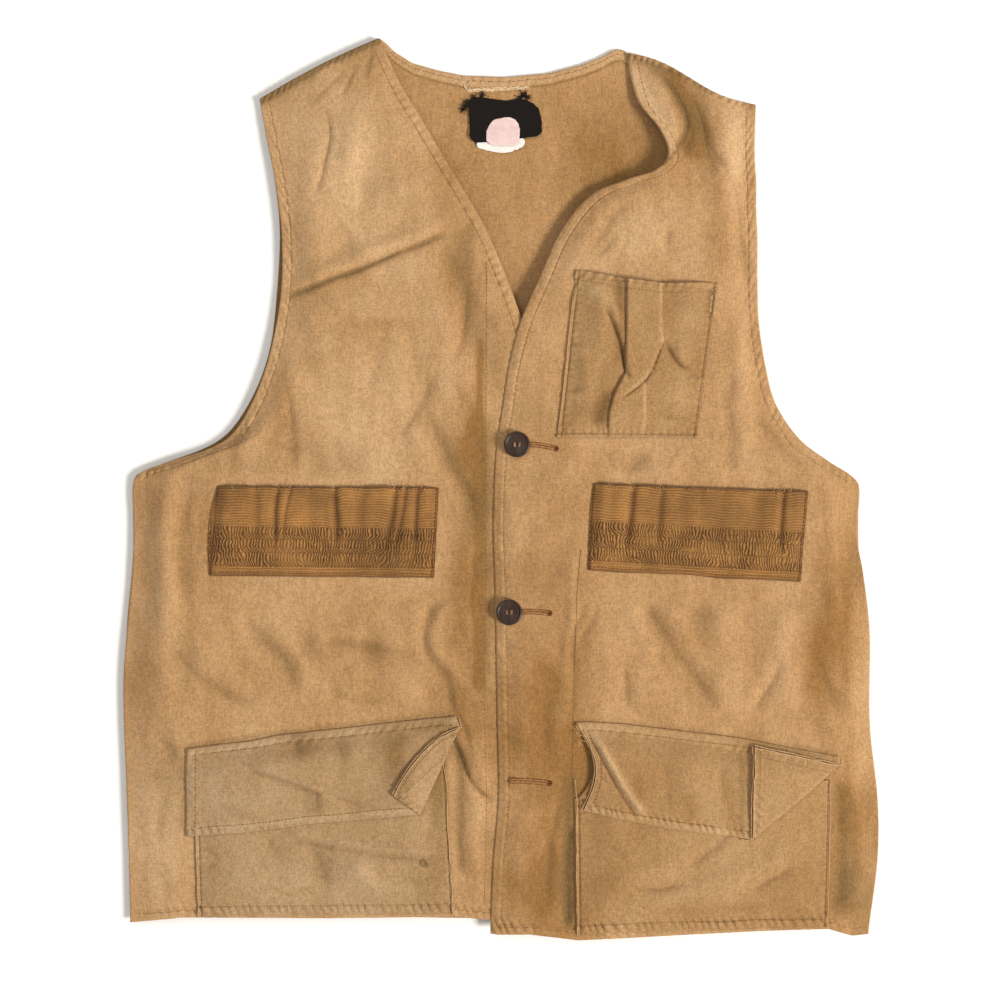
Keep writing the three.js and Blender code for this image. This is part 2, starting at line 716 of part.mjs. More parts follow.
// Four legs through the holes, two bars over the button and one shank through the buttonhole.
function buttonThread(spot) {
  const base = buttonBase(spot);
  const top = base + BUTTON_THICK - BUTTON_DISH + GAP;
  const foot = frontHeight(spot.x, spot.y) + CANVAS / 2 + GAP;
  const reach = HOLE_OFFSET + THREAD_RADIUS;
  let solid = post(1.3, spot.x, spot.y, foot, base - 0.3, 8);
  const plate = new THREE.BoxGeometry(2 * reach, 2 * reach, 0.5);
  plate.translate(spot.x, spot.y, base - 0.6);
  solid = solid.add(toSolid(welded(plate)));
  for (const [sx, sy] of HOLES) {
    const [x, y] = [spot.x + sx * HOLE_OFFSET, spot.y + sy * HOLE_OFFSET];
    solid = solid.add(post(THREAD_RADIUS, x, y, base - 0.7, top + 0.5, 6));
  }
  for (const sy of [1, -1]) {
    const bar = new THREE.BoxGeometry(2 * reach, 2 * THREAD_RADIUS, 2 * THREAD_RADIUS);
    bar.translate(spot.x, spot.y + sy * HOLE_OFFSET, top + THREAD_RADIUS);
    solid = solid.add(toSolid(welded(bar)));
  }
  return solid;
}

function buttonSlot(spot) {
  const shape = new THREE.Shape();
  const half = SLOT_WIDTH / 2;
  shape.moveTo(0, -half);
  shape.lineTo(SLOT_LENGTH - half, -half);
  shape.absarc(SLOT_LENGTH - half, 0, half, -Math.PI / 2, Math.PI / 2, false);
  shape.lineTo(0, half);
  shape.absarc(0, 0, half, Math.PI / 2, Math.PI * 1.5, false);
  const geometry = new THREE.ExtrudeGeometry(shape, { depth: 60, bevelEnabled: false, curveSegments: 4 });
  geometry.translate(spot.x, spot.y, 0);
  return toSolid(welded(indexed(geometry)));
}

function indexed(geometry) {
  const count = geometry.attributes.position.count;
  if (!geometry.index) geometry.setIndex(Array.from({ length: count }, (_, k) => k));
  return geometry;
}

// Neck label with its tag under the lower edge and a sticker over both.
const LABEL_EDGE = [[-23, 266], [29, 270], [32, 276], [28, 294], [20, 299], [-14, 302], [-27, 296]];
const TAG_EDGE = [[-20, 262], [-2, 255], [18, 261], [19, 268], [-20, 268]];
const STICKER_EDGE = [[-12, 262], [0, 260], [12, 263], [13, 275], [8, 283], [-4, 284], [-12, 276]];
const TAG_HEIGHT = CANVAS + GAP + LABEL / 2;

function labelHeight(x, y) {
  return TAG_HEIGHT + (LABEL + GAP) * ease((282 - y) / 10);
}

function stickerHeight(x, y) {
  return labelHeight(x, y) + LABEL + GAP;
}

const CANVAS_COLOUR = '#c39865';
const CANVAS_LOW = '#b58c5b';
const parts = [];

function addPart(name, geometry, colour, roughness) {
  const plain = geometry.toNonIndexed();
  plain.computeVertexNormals();
  const material = new THREE.MeshStandardMaterial({ color: colour, roughness, metalness: 0 });
  const mesh = new THREE.Mesh(plain, material);
  mesh.name = name;
  parts.push(mesh);
}

const frontRight = frontPanel(FRONT_RIGHT_ROWS, 12, frontHeight, HEM_RIGHT_WAVE, false);
let frontLeft = toSolid(frontPanel(FRONT_LEFT_ROWS, 12, lapHeight, HEM_LEFT_WAVE, true));
for (const slot of SLOTS) frontLeft = frontLeft.subtract(buttonSlot(slot));

addPart('back_panel', backPanel(), '#bf935f', 0.95);
addPart('front_right', frontRight, CANVAS_COLOUR, 0.95);
addPart('front_left', toGeometry(frontLeft), CANVAS_COLOUR, 0.95);
addPart('chest_pocket', chestPocket(), '#b88a58', 0.95);
addPart('shell_band_right', shellBand(BAND_RIGHT, frontHeight), '#956739', 0.9);
addPart('shell_band_left', shellBand(BAND_LEFT, lapHeight), '#956739', 0.9);
addPart('hip_pocket_right', hipPocket(HIP_RIGHT, frontHeight), CANVAS_LOW, 0.95);
addPart('hip_pocket_left', hipPocket(HIP_LEFT, lapHeight), CANVAS_LOW, 0.95);
addPart('flap_right', toGeometry(pocketFlap(FLAP_RIGHT, HIP_RIGHT, frontHeight)), CANVAS_LOW, 0.95);
addPart('flap_left', toGeometry(pocketFlap(FLAP_LEFT, HIP_LEFT, lapHeight)), CANVAS_LOW, 0.95);
for (const spot of BUTTONS) {
  addPart(`button_${spot.name}`, toGeometry(button(spot)), '#4a3427', 0.4);
  addPart(`thread_${spot.name}`, toGeometry(buttonThread(spot)), '#5f4128', 0.9);
}
addPart('neck_label', toGeometry(clothOver(LABEL_EDGE, labelHeight, LABEL, 14, 6)), '#211710', 0.9);
addPart('size_tag', toGeometry(clothOver(TAG_EDGE, () => TAG_HEIGHT, LABEL, 20, 20)), '#e4ddd2', 0.9);
addPart('tag_sticker', toGeometry(clothOver(STICKER_EDGE, stickerHeight, LABEL, 14, 6)), '#e1bcb6', 0.85);

const vest = new THREE.Group();
vest.name = 'hunting_vest';
parts.forEach((mesh) => vest.add(mesh));

// The vest's box is centred on the origin and its underside lies on the surface.
const box = new THREE.Box3().setFromObject(vest);
const middle = box.getCenter(new THREE.Vector3());
parts.forEach((mesh) => mesh.geometry.translate(-middle.x, -middle.y, -box.min.z));

export default vest;
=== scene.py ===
import math

import bpy
import numpy as np
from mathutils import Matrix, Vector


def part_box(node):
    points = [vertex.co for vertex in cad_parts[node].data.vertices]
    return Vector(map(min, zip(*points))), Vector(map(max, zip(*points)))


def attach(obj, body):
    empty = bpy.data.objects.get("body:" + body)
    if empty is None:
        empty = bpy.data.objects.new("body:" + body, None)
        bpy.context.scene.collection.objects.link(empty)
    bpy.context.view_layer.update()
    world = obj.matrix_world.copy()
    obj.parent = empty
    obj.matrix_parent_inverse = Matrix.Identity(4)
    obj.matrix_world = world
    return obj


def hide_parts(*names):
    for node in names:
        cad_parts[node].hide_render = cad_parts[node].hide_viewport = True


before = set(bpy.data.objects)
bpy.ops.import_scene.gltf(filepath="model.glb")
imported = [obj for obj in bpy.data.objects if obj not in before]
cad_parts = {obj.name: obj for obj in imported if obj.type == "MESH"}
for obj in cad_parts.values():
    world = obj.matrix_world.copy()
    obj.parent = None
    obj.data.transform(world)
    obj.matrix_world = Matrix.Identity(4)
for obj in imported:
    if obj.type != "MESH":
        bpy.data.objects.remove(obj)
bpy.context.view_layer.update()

# Lengths are millimetres in the tables and metres in the meshes.
MM = 0.001
IMAGE_SIDE = 1000
PHOTO_SCALE = 0.767
PHOTO_CENTRE = (-1.9, -8.4)

# Cloth and seams
CANVAS = 1.5
GAP = 0.35
SEAM_TOP = 4.5
SEAM_BACK = SEAM_TOP - CANVAS / 2
SEAM_FRONT = SEAM_TOP + GAP + CANVAS / 2
BACK_FLAT = CANVAS / 2
BACK_WRINKLE_ROOM = 0.9
FLOOR_CLEAR = 0.02
SIDE_TURN = 32
EDGE_TURN = 20
EDGE_HEM = 8.5
ARM_HEM = 7.5
FOOT_HEM = 8.8
SHOULDER_HEM = 5.0
NECK_HEM = 8
NECK_STITCH_LINE = 6.5

# Heights of the fronts
FRONT_HEIGHT = 14
HEM_DROP = 4
HEM_LINE = -340
HEM_SLOPE = 80
HEM_BLEND = 60
LAP_LIFT = 4.2
LAP_EDGE = -9
LAP_END = 112
LAP_REST = 1.75
LAP_ROWS = 12
SHOULDER_RIGHT_BOW = (2.5, 0)
SHOULDER_LEFT_BOW = (0, -3.5)
SHOULDER_ROW = 31
ON_FRONT = CANVAS + 0.1

# Pockets, flaps and bands
POCKET_RISE = 4.2
POCKET_TURN = 34
CHEST_RISE = 4.2
CHEST_TURN = 24
FLAP_TURN = 21
FLAP_CLEAR = 0.5
FLAP_CANVAS = CANVAS * 0.85
POCKET_HEM = 8.4
MOUTH_HEM = 7.0
FLAP_HEM = 6.0
FLAP_TOP_HEM = 6.2
CREASE_RADIUS = 1.4
CORNER_SPRING = 0.04
EDGE_WAVER = 0.35
BAND = 1.6
BAND_RISE = 3.4
BAND_LOOPS = 6
BAND_FOOT = 24
BAND_WIDTH = 170
BAND_BASE = (CANVAS + BAND) / 2 + GAP
SMOCK_LOW = 6
SMOCK_HIGH = 38
SMOCK_START = 8
SMOCK_ROW = 10

# Buttons
BUTTON_THICK = 3.4
BUTTON_DISH = 1.2
HOLE_RADIUS = 1.1
HOLE_OFFSET = 2.3

# Stitches
STITCH_PITCH = 3.0
STITCH_LENGTH = 2.2
STITCH_ARCH = 0.25
ON_CANVAS = CANVAS / 2 + 0.12
ON_BAND = BAND / 2 + 0.1
SEAM_POINTS = 300

# How far inside an edge each line of stitching lies, and the row of the fronts' hem line
FRONT_SEAM = 7.6
ARM_SEAM = 6.6
HEM_SEAM_ROW = 0.79
CHEST_SEAM = 2.7
MOUTH_SEAM = 7.4
HIP_SEAM = 2.8
HIP_FOOT_SEAM = 7.6
FLAP_SEAM = 5.4
FLAP_TOP_SEAM = 5.6
BAND_SEAM = 1.6
BAND_FOOT_SEAM = 2.4

# Radii of threads and worn rims
THREAD = 0.24
THREAD_SIDES = 5
TACK = 0.26
SATIN = 0.28
SLIT = 0.36
FUZZ = 0.16
FRAY = 0.2
FACING_SEAM = 0.3
CHEST_RIM = 0.32
FLAP_RIM = 0.5

# Spacing of the meshes
FRONT_WIDTH = 315
FRONT_STEP = 1.8
FRONT_MARGINS = (12, 24)
BACK_WIDTH = 570
BACK_STEP = 3.4
BACK_SIDE_STEP = 1.6
EDGE_STEP = 1.1
EDGE_MARGIN = 13
CHEST_SIZE = (108, 120)
CHEST_STEP = 0.85
HIP_SIZE = (198, 125)
HIP_STEP = 1.2
PATCH_EDGE_STEP = 0.75
FLAP_GRID = (72, 190)
BAND_GRID = (111, 191)
UNDER = 3
BAND_UNDER = 2
RIM_POINTS = 140
RIM_INSET = 0.003
CORD_POINTS = 70
RIM_ROUND = 0.8

# Wrinkles that follow no path
NOISE_SIDE = 64
NOISE_START = 1000.5
DRIFT = 2.4
DRIFT_SIZE = 26


def table(names, rows):
    keys = names.split()
    return [dict(zip(keys, row)) for row in rows]


# The fronts: rows from the hem to the shoulder, from the side to the front edge.
FRONT_RIGHT_ROWS = table("side_x side_y side_z edge_x edge_y edge_z seam", [
    (-287, -334, SEAM_FRONT, 32, -333, 10.1, 0),
    (-287, -324, SEAM_FRONT, 32, -323, 10.5, 0),
    (-288, -280, SEAM_FRONT, 32, -280, 13.4, 0),
    (-290, -223, SEAM_FRONT, 32, -223, 14, 0),
    (-292, -146, SEAM_FRONT, 32, -146, 14, 0),
    (-286, -77, SEAM_FRONT, 32, -80, 14, 0),
    (-284, -30, SEAM_FRONT, 32, -34, 14, 0),
    (-285, 0, SEAM_FRONT, 32, 4, 14, 0),
    (-280, 11.5, SEAM_FRONT + 0.4, 32, 26, 14, 0),
    (-257, 20.8, 6.5, 31, 46, 14, 0),
    (-223, 32, 7, 29, 72, 14, 0),
    (-204, 47, 7, 25, 94, 13.5, 0),
    (-188, 77, 7, 18, 120, 13, 0),
    (-177, 112, 7, 4, 160, 12, 0),
    (-170, 155, 7, -14, 202, 10.5, 0),
    (-170, 200, 7, -39, 245, 10, 0),
    (-175, 238, 7, -62, 284, 9.5, 0.1),
    (-181, 268, 6.5, -79, 313, 8.5, 0.45),
    (-187, 301, SEAM_FRONT, -95, 348, SEAM_FRONT, 1),
])
FRONT_LEFT_ROWS = table("side_x side_y side_z edge_x edge_y edge_z seam", [
    (282, -343, SEAM_FRONT, -9, -342, 14.2, 0),
    (283, -333, SEAM_FRONT, -9, -332, 14.3, 0),
    (289, -285, SEAM_FRONT, -7, -285, 17.3, 0),
    (289, -239, SEAM_FRONT, -3, -235, 18.2, 0),
    (283, -180, SEAM_FRONT, -4, -175, 18.2, 0),
    (283, -112, SEAM_FRONT, -5, -108, 18.2, 0),
    (278, -66, SEAM_FRONT, -6, -64, 18.2, 0),
    (273, -36, SEAM_FRONT, -7, -30, 18.2, 0),
    (275, -2, SEAM_FRONT, -6, 8, 18.2, 0),
    (270, 9, SEAM_FRONT + 0.4, -4, 36, 18.2, 0),
    (250, 22, 6.5, 0, 62, 18.2, 0),
    (228, 39, 7, 5, 94, 18.2, 0),
    (210, 66, 7, 14, 128, 16.5, 0),
    (202, 96, 7, 29, 163, 13, 0),
    (197, 130, 7, 45, 198, 10.5, 0),
    (196, 164, 7, 68, 226, 10.5, 0),
    (196, 194, 7, 96, 238, 12.5, 0),
    (195, 216, 7, 118, 245, 16.5, 0),
    (195, 236, 7, 127, 258, 16.5, 0),
    (194, 254, 7, 120, 277, 14, 0),
    (194, 270, 6.5, 104, 300, 10.5, 0.25),
    (195, 296.5, SEAM_FRONT, 96, 336.5, SEAM_FRONT, 1),
])
ARMPIT_RIGHT = 7.2
ARMPIT_LEFT = 8.2
HEM_RIGHT_WAVE = ((-287, 0), (-247, 5), (-132, 4), (-36, 5), (-10, 2), (32, 0))
HEM_LEFT_WAVE = ((-9, 0), (21, 1), (58, -4), (105, -2), (194, 3), (251, 5), (270, -1), (282, 0))

# The back, from the hem to the shoulders, with the neckline raised above its top row.
BACK_ROWS = table("left_x left_y right_x right_y z", [
    (-284, -328, 280, -336, SEAM_BACK),
    (-285, -318, 281, -324, SEAM_BACK),
    (-288, -270, 289, -270, SEAM_BACK),
    (-291, -180, 283, -180, SEAM_BACK),
    (-290, -110, 282, -110, SEAM_BACK),
    (-285, -50, 275, -50, SEAM_BACK),
    (-285, 2, 274, 0, SEAM_BACK),
    (-280, 12, 268, 10, 2.8),
    (-258, 21, 248, 22, 1.2),
    (-227, 33, 226, 39, BACK_FLAT),
    (-208, 48, 208, 66, BACK_FLAT),
    (-190, 78, 200, 96, BACK_FLAT),
    (-179, 112, 195, 130, BACK_FLAT),
    (-174, 155, 194, 164, BACK_FLAT),
    (-172, 200, 194, 205, BACK_FLAT),
    (-176, 240, 193, 240, BACK_FLAT),
    (-182, 274, 193, 272, BACK_FLAT),
    (-187, 301, 195, 296.5, SEAM_BACK),
])
NECK_CURVE = (
    (-187, 0), (-164, 13.6), (-141, 26.3), (-118, 37.8), (-95, 48.2), (-90.5, 44.9), (-84, 38.4),
    (-70, 29.6), (-50, 24.1), (-30, 20.2), (2, 19.5), (36, 22.8), (62, 30), (75, 35.2), (86.7, 41.6),
    (93, 42.2), (97, 38.6), (112, 35.2), (128, 29.1), (145, 19.4), (162, 9.6), (179, 3), (195, 0),
)
NECK_START = 190
NECK_TOP = 297
SHOULDERS = (-95, 96)

# Large folds of the fronts: two ends, half width and rise.
FOLDS = table("x1 y1 x2 y2 half rise", [
    (-158, 157, -50, 203, 7, 3.4),
    (-138, 300, -136, 338, 7, 2.5),
    (-120, 226, -112, 300, 9, 2),
    (-40, 190, -17, 118, 11, -2.2),
    (-70, 180, -30, 60, 14, 2.2),
    (-186, 68, -197, 30, 8, 2.4),
    (-258, -2, -262, -130, 13, 3),
    (-240, 8, -246, -90, 9, -2.2),
    (-262, -180, -258, -320, 9, -2.6),
    (113, 324, 133, 305, 9, -1.6),
    (133, 305, 141, 282, 9, -3.0),
    (141, 282, 135, 262, 8, -3.0),
    (150, 320, 160, 235, 9, -2.6),
    (176, 296, 178, 190, 11, 2),
    (183, 160, 184, 40, 8, 2.6),
    (174, 90, 172, 10, 6, -2),
    (50, 20, 84, 6, 7, 2),
    (252, 8, 250, -90, 10, 2.6),
    (168, -80, 170, -174, 13, 2.4),
    (214, -82, 222, -184, 11, 2.4),
    (266, -120, 272, -300, 9, 2.6),
    (16, -140, 18, -320, 10, 1.6),
])
FOLD_FADE = 0.28
PATH_FADE = 14
PATH_FADE_SHARE = 0.32
LONG_FADE = 20
LONG_FADE_SHARE = 0.38
CREASE_POWER = 1.5
STREAK_POWER = 2

# Finer creases of the fronts, each along its own path.
FRONT_CREASES = table("half rise path", [
    (2.8, -4.2, ((-170, 146), (-128, 164), (-97, 174), (-72, 186), (-38, 202))),
    (2.4, -2.2, ((-137, 298), (-134, 269), (-137, 245), (-139, 214))),
    (2.4, -3.2, ((-118, 325), (-133, 311), (-153, 292))),
    (2.0, -2.8, ((-112, 332), (-118, 318), (-127, 297))),
    (3.0, -3.2, ((-97, 344), (-101, 332), (-107, 314))),
    (4.5, -2.2, ((-27, 160), (-31, 117), (-40, 90))),
    (5.0, -1.9, ((-48, 95), (-66, 58), (-80, 30))),
    (3.0, -1.4, ((-40, 84), (-30, 62))),
    (4.0, -2.0, ((-168, 90), (-161, 41), (-162, 10))),
    (5.0, -2.8, ((-62, 68), (-37, 13), (-17, -20))),
    (6.0, 1.8, ((-74, 60), (-50, 5), (-30, -28))),
    (4.0, -2.0, ((-23, -46), (-20, -76))),
    (5.0, -2.7, ((-263, -114), (-235, -145), (-198, -165), (-183, -177))),
    (7.0, 1.8, ((-250, -103), (-224, -134), (-190, -154))),
    (5.5, -2.5, ((-198, -98), (-171, -133), (-161, -162))),
    (7.0, 1.9, ((-184, -95), (-158, -130), (-148, -158))),
    (4.5, -2.4, ((-142, -114), (-115, -118), (-89, -124), (-63, -134))),
    (6.0, 1.6, ((-140, -104), (-88, -112), (-66, -120))),
    (4.5, -2.4, ((-145, -150), (-107, -162), (-63, -172))),
    (8.0, 2.0, ((-130, -136), (-85, -148), (-55, -160))),
    (3.6, -2.3, ((-40, -74), (-62, -106), (-59, -126), (-43, -153), (-30, -182))),
    (6.0, 2.4, ((-30, -76), (-52, -106), (-49, -126), (-33, -156))),
    (2.0, -1.0, ((-102, -72), (-101, -88))),
    (3.0, -1.3, ((-216, -72), (-204, -84))),
    (4.0, -1.6, ((-270, -189), (-246, -208))),
    (5.0, -1.7, ((-276, -277), (-278, -318))),
    (6.0, 1.4, ((-259, -238), (-255, -315))),
    (4.0, -1.6, ((144, 308), (155, 275), (161, 237))),
    (8.0, 1.4, ((178, 285), (168, 222))),
    (5.0, -1.5, ((105, 229), (82, 208), (63, 180))),
    (5.0, -1.4, ((128, 208), (126, 172))),
    (4.0, -1.3, ((85, 197), (71, 172))),
    (4.5, -2.6, ((158, 264), (174, 233), (183, 205), (186, 160), (180, 122))),
    (4.0, -1.8, ((112, 30), (82, 7))),
    (5.0, 1.4, ((144, 30), (121, 8))),
    (7.0, -1.7, ((186, 68), (226, 18))),
    (4.0, -1.9, ((64, -74), (69, -91), (61, -128))),
    (5.0, -2.5, ((106, -70), (122, -104), (142, -143), (162, -165))),
    (8.0, 1.9, ((122, -80), (140, -112), (160, -145))),
    (6.0, 1.4, ((95, -80), (110, -115), (126, -150))),
    (4.0, -2.0, ((93, -130), (96, -170))),
    (4.0, -1.8, ((118, -120), (128, -140))),
    (4.0, -2.0, ((191, -187), (201, -153), (218, -128))),
    (7.0, 1.6, ((184, -180), (192, -150), (206, -124))),
    (5.0, -1.8, ((235, -118), (253, -153), (260, -192))),
    (5.0, -1.8, ((262, -54), (266, -208))),
    (5.0, -2.0, ((268, -223), (272, -315))),
    (5.0, -1.8, ((46, -95), (46, -136))),
    (6.0, -1.5, ((33, -150), (32, -205))),
    (6.0, -2.2, ((44, -200), (40, -260), (36, -325))),
    (6.0, -1.3, ((18, -22), (30, -36))),
    (2.6, -1.5, ((67, 6), (62, -30), (58, -64), (56, -116), (54, -190))),
    (5.0, 1.1, ((60, -20), (52, -64), (50, -116), (48, -185))),
])

# Creases close to a pocket or an edge, which nothing holds flat.
LAPEL_FOLD = ((122, 322), (134, 303), (140, 289), (141, 279), (137, 268), (129, 253), (116, 243))
PULL_FOLD = ((-39, -184), (-32, -203), (-27, -218), (-19, -230), (-6, -241))
FREE_CREASES = table("half rise path", [
    (4.5, -3.4, ((53, -254), (50, -300), (51, -340))),
    (6.0, -2.2, ((260, -215), (261, -328))),
    (4.0, -2.0, ((-33, -190), (-31, -300))),
    (2.0, -2.4, ((-44, -156), (-33, -174), (-27.5, -184), (-24, -202))),
    (2.4, -3.4, PULL_FOLD),
    (5.0, 2.6, ((-28, -180), (-19, -204), (-12, -220), (-4, -230))),
    (5.0, 1.4, ((-22, -200), (-20, -320))),
    (4.0, -1.2, ((116, 330), (132, 303), (142, 287), (145, 277), (141, 263), (131, 245))),
    (1.6, -2.2, LAPEL_FOLD),
    (6.0, 2.0, ((110, 322), (122, 302), (130, 286), (130, 274), (125, 260))),
])

# Painted shade along edges, under folds and in hollows, drawn on the cloth as if it lay that much deeper.
PAINTED_SHADE = table("half rise path", [
    (3.0, -9, ((-204, 290.5), (-187, 300), (-150, 321), (-118, 338), (-76, 356))),
    (8.0, -1.2, ((-204, 291), (-150, 320), (-76, 356))),
    (4.0, -3.6, ((80, 342), (150, 314), (208, 290))),
    (11.0, -1.6, ((262, -90), (268, -150), (272, -205))),
    (13.0, -1.9, ((268, -222), (272, -270), (272, -330))),
    (5.0, -1.8, ((-31, 204), (-17, 190))),
    (7.0, -1.4, ((-28, -8), (-14, -30))),
    (4.4, -5.0, ((53, -212), (50.5, -255), (50, -295), (51, -346))),
    (5.0, -4.0, ((62, -198), (69, -212), (67, -228), (60, -246))),
    (3.0, -2.4, ((50, -178), (116, -183), (186, -192), (262, -205))),
    (3.0, -2.4, ((-252, -199), (-148, -184), (-62, -175), (-30, -172))),
    (4.5, -2.6, ((-246, -196), (-246, -268))),
    (4.0, -2.0, ((-31, -188), (-35, -240), (-31, -300))),
    (4.0, -1.8, ((126, 318), (140, 299), (149, 284), (151, 274), (147, 262), (139, 250))),
    (1.3, -2.8, LAPEL_FOLD),
    (1.8, -3.2, PULL_FOLD),
    (6.0, -2.2, ((-12, 62), (-13, 0), (-14, -60), (-13, -166))),
    (8.0, -2.6, ((262, -282), (264, -302), (262, -338))),
    (2.6, -3.2, ((-172, 145), (-128, 163), (-97, 173), (-72, 185), (-42, 199))),
])

# Burnt dots and small dark rings: middle, radius and depth of the dark.
SPOTS = table("x y radius depth", [
    (-61, -286, 1.9, 5), (-58, -288, 0.8, 4), (108, -320, 0, 7), (-174, 264, 0, 6), (-57, -304, 0, 2),
])

# Places where a pocket, a band or a button holds the cloth flat.
CALM = table("x1 x2 y1 y2", [
    (40, 167, 36, 170),
    (-230, -42, -82, 6),
    (62, 244, -84, 8),
    (-244, -30, -345, -170),
    (50, 262, -350, -175),
    (-8, 42, 22, 44),
    (-8, 42, -106, -84),
    (-8, 42, -236, -212),
])
CALM_FADE = 12

# Faded and dirty patches with painted light and shade among them: middle, half sizes, and how pale (above 0)
# or ochre (below 0) they are. The broad pale patch high on the right front is painted light, and the dark
# ones at the left pocket's mouth are painted shade.
FRONT_PATCHES = table("x y half_x half_y fade", [
    (62, -222, 7, 20, -1.5),
    (-135, 255, 50, 65, 0.85),
    (-95, 90, 70, 60, 0.40),
    (-93, 126, 28, 5, -0.35),
    (-35, 155, 18, 45, -0.45),
    (-25, 40, 10, 34, -0.7),
    (-27, -60, 20, 110, -0.7),
    (-165, 50, 12, 40, -0.40),
    (-215, -25, 30, 60, -0.15),
    (-155, -125, 90, 35, -0.15),
    (-265, -265, 25, 70, 0.85),
    (25, 80, 26, 50, -0.15),
    (30, -190, 34, 150, -0.95),
    (58, -214, 7, 24, -1.1),
    (62, -130, 14, 60, -0.35),
    (180, 270, 14, 40, 0.9),
    (164, 196, 12, 46, -0.3),
    (115, 205, 45, 22, 0.25),
    (187, 100, 10, 50, 0.30),
    (150, -125, 60, 34, -0.25),
    (238, -142, 12, 36, -0.70),
    (256, -100, 22, 90, -0.9),
    (284, -150, 5, 60, 0.35),
    (264, -262, 18, 60, -0.45),
])
# The pale strip along the lapel and the darker band beside it are painted light and shade.
FRONT_STREAKS = table("half fade path", [
    (6.0, 1.0, ((98, 331), (108, 304), (119, 289), (128, 277), (127, 262), (121, 249))),
    (8.0, -0.9, ((124, 331), (140, 302), (149, 285), (152, 275), (148, 262), (139, 248))),
    (3.0, -0.9, ((-17, 120), (-18, 20), (-19, -160))),
])
# The dark patch beside the lapel is painted shade.
BACK_PATCHES = table("x y half_x half_y fade", [
    (70, 262, 42, 50, -0.55), (-20, 240, 40, 40, 0.1), (20, 180, 40, 40, -0.1),
])
BACK_STREAKS = table("half fade path", [(1.6, 1.6, ((-34, 311), (-22, 309.5), (4, 310), (26, 312.5)))])
# Painted shade on the back: along the armhole where the front's edge overhangs it, and a thin line under the
# neck hem.
BACK_PAINTED_SHADE = table("half rise path", [
    (9.0, -4.0, ((-172, 215), (-174, 155), (-179, 112), (-190, 78), (-208, 48), (-227, 33), (-275, 14))),
    (1.0, -2.5, ((-36, 307.8), (-20, 306.6), (4, 307.2), (24, 309.6))),
])
# The dark patches at the pocket mouths, under the flaps, are painted shade.
HIP_PATCHES = table("x y half_x half_y fade", [
    (-150, -300, 80, 30, 0.30), (-48, -290, 12, 50, -0.60), (-49, -222, 8, 28, -1.0),
    (70, -212, 14, 36, -1.2), (220, -300, 30, 30, -0.05), (85, -300, 16, 14, -0.30),
])
HIP_STREAKS = table("half fade path", [
    (1.6, -0.5, ((-236, -272), (-211, -283), (-234, -296))),
    (1.6, -0.4, ((-192, -312), (-176, -303), (-160, -313), (-150, -303), (-138, -318))),
])
# The dark patches behind and beside the turned corners are painted shade.
FLAP_PATCHES = table("x y half_x half_y fade", [
    (-83, -203, 11, 20, -1.0), (-155, -196, 14, 12, -0.5), (-205, -235, 40, 25, 0.25),
    (-60, -225, 12, 20, 0.3), (104, -222, 7, 18, -0.3), (174, -248, 6, 20, -0.9),
    (142, -243, 8, 14, -0.35), (215, -232, 30, 22, 0.05), (120, -225, 40, 30, -0.15),
])

# Sewn-on pieces: lines from their lower to their top edge, from left to right.
CHEST = table("low_x low_y top_x top_y", [
    (42, 40, 56, 168), (80, 40, 95, 160), (106, 40, 121, 157), (149, 39, 165, 158),
])
HIP_RIGHT = table("low_x low_y top_x top_y", [(-234, -328, -236, -216), (-37, -326, -43, -204)])
HIP_LEFT = table("low_x low_y top_x top_y", [(57, -342, 55, -203), (250, -336, 252, -224)])
BAND_RIGHT = table("low_x low_y top_x top_y", [(-224, -66, -218, 2), (-53, -68, -49, 1)])
BAND_LEFT = table("low_x low_y top_x top_y", [(66, -62, 70, 4), (228, -71, 234, -2)])
FLAP_RIGHT = table("low_x low_y top_x top_y", [
    (-242, -266, -242, -199), (-155, -256, -148, -186), (-65, -248, -62, -177), (-38, -253, -36, -174),
])
FLAP_LEFT = table("low_x low_y top_x top_y", [
    (62, -245.5, 55, -177.5), (122, -258.5, 116, -183), (186, -266.5, 186, -191.5), (259, -279, 258, -205.5),
])
FLAP_RIGHT_CREASE = ((-38, -190), (-65, -248))
FLAP_LEFT_CREASE = ((258, -209), (187, -267))
FLAP_RIGHT_BULGE = 9.5
FLAP_LEFT_BOW = 13
BOW_SHARE = 0.18
BULGE_SHARE = 0.2
BAND_RIGHT_BOW = -3.5
BAND_LEFT_BOW = -1.5
MOUTH_DIP = 34
MOUTH_DIP_SHARE = 0.14

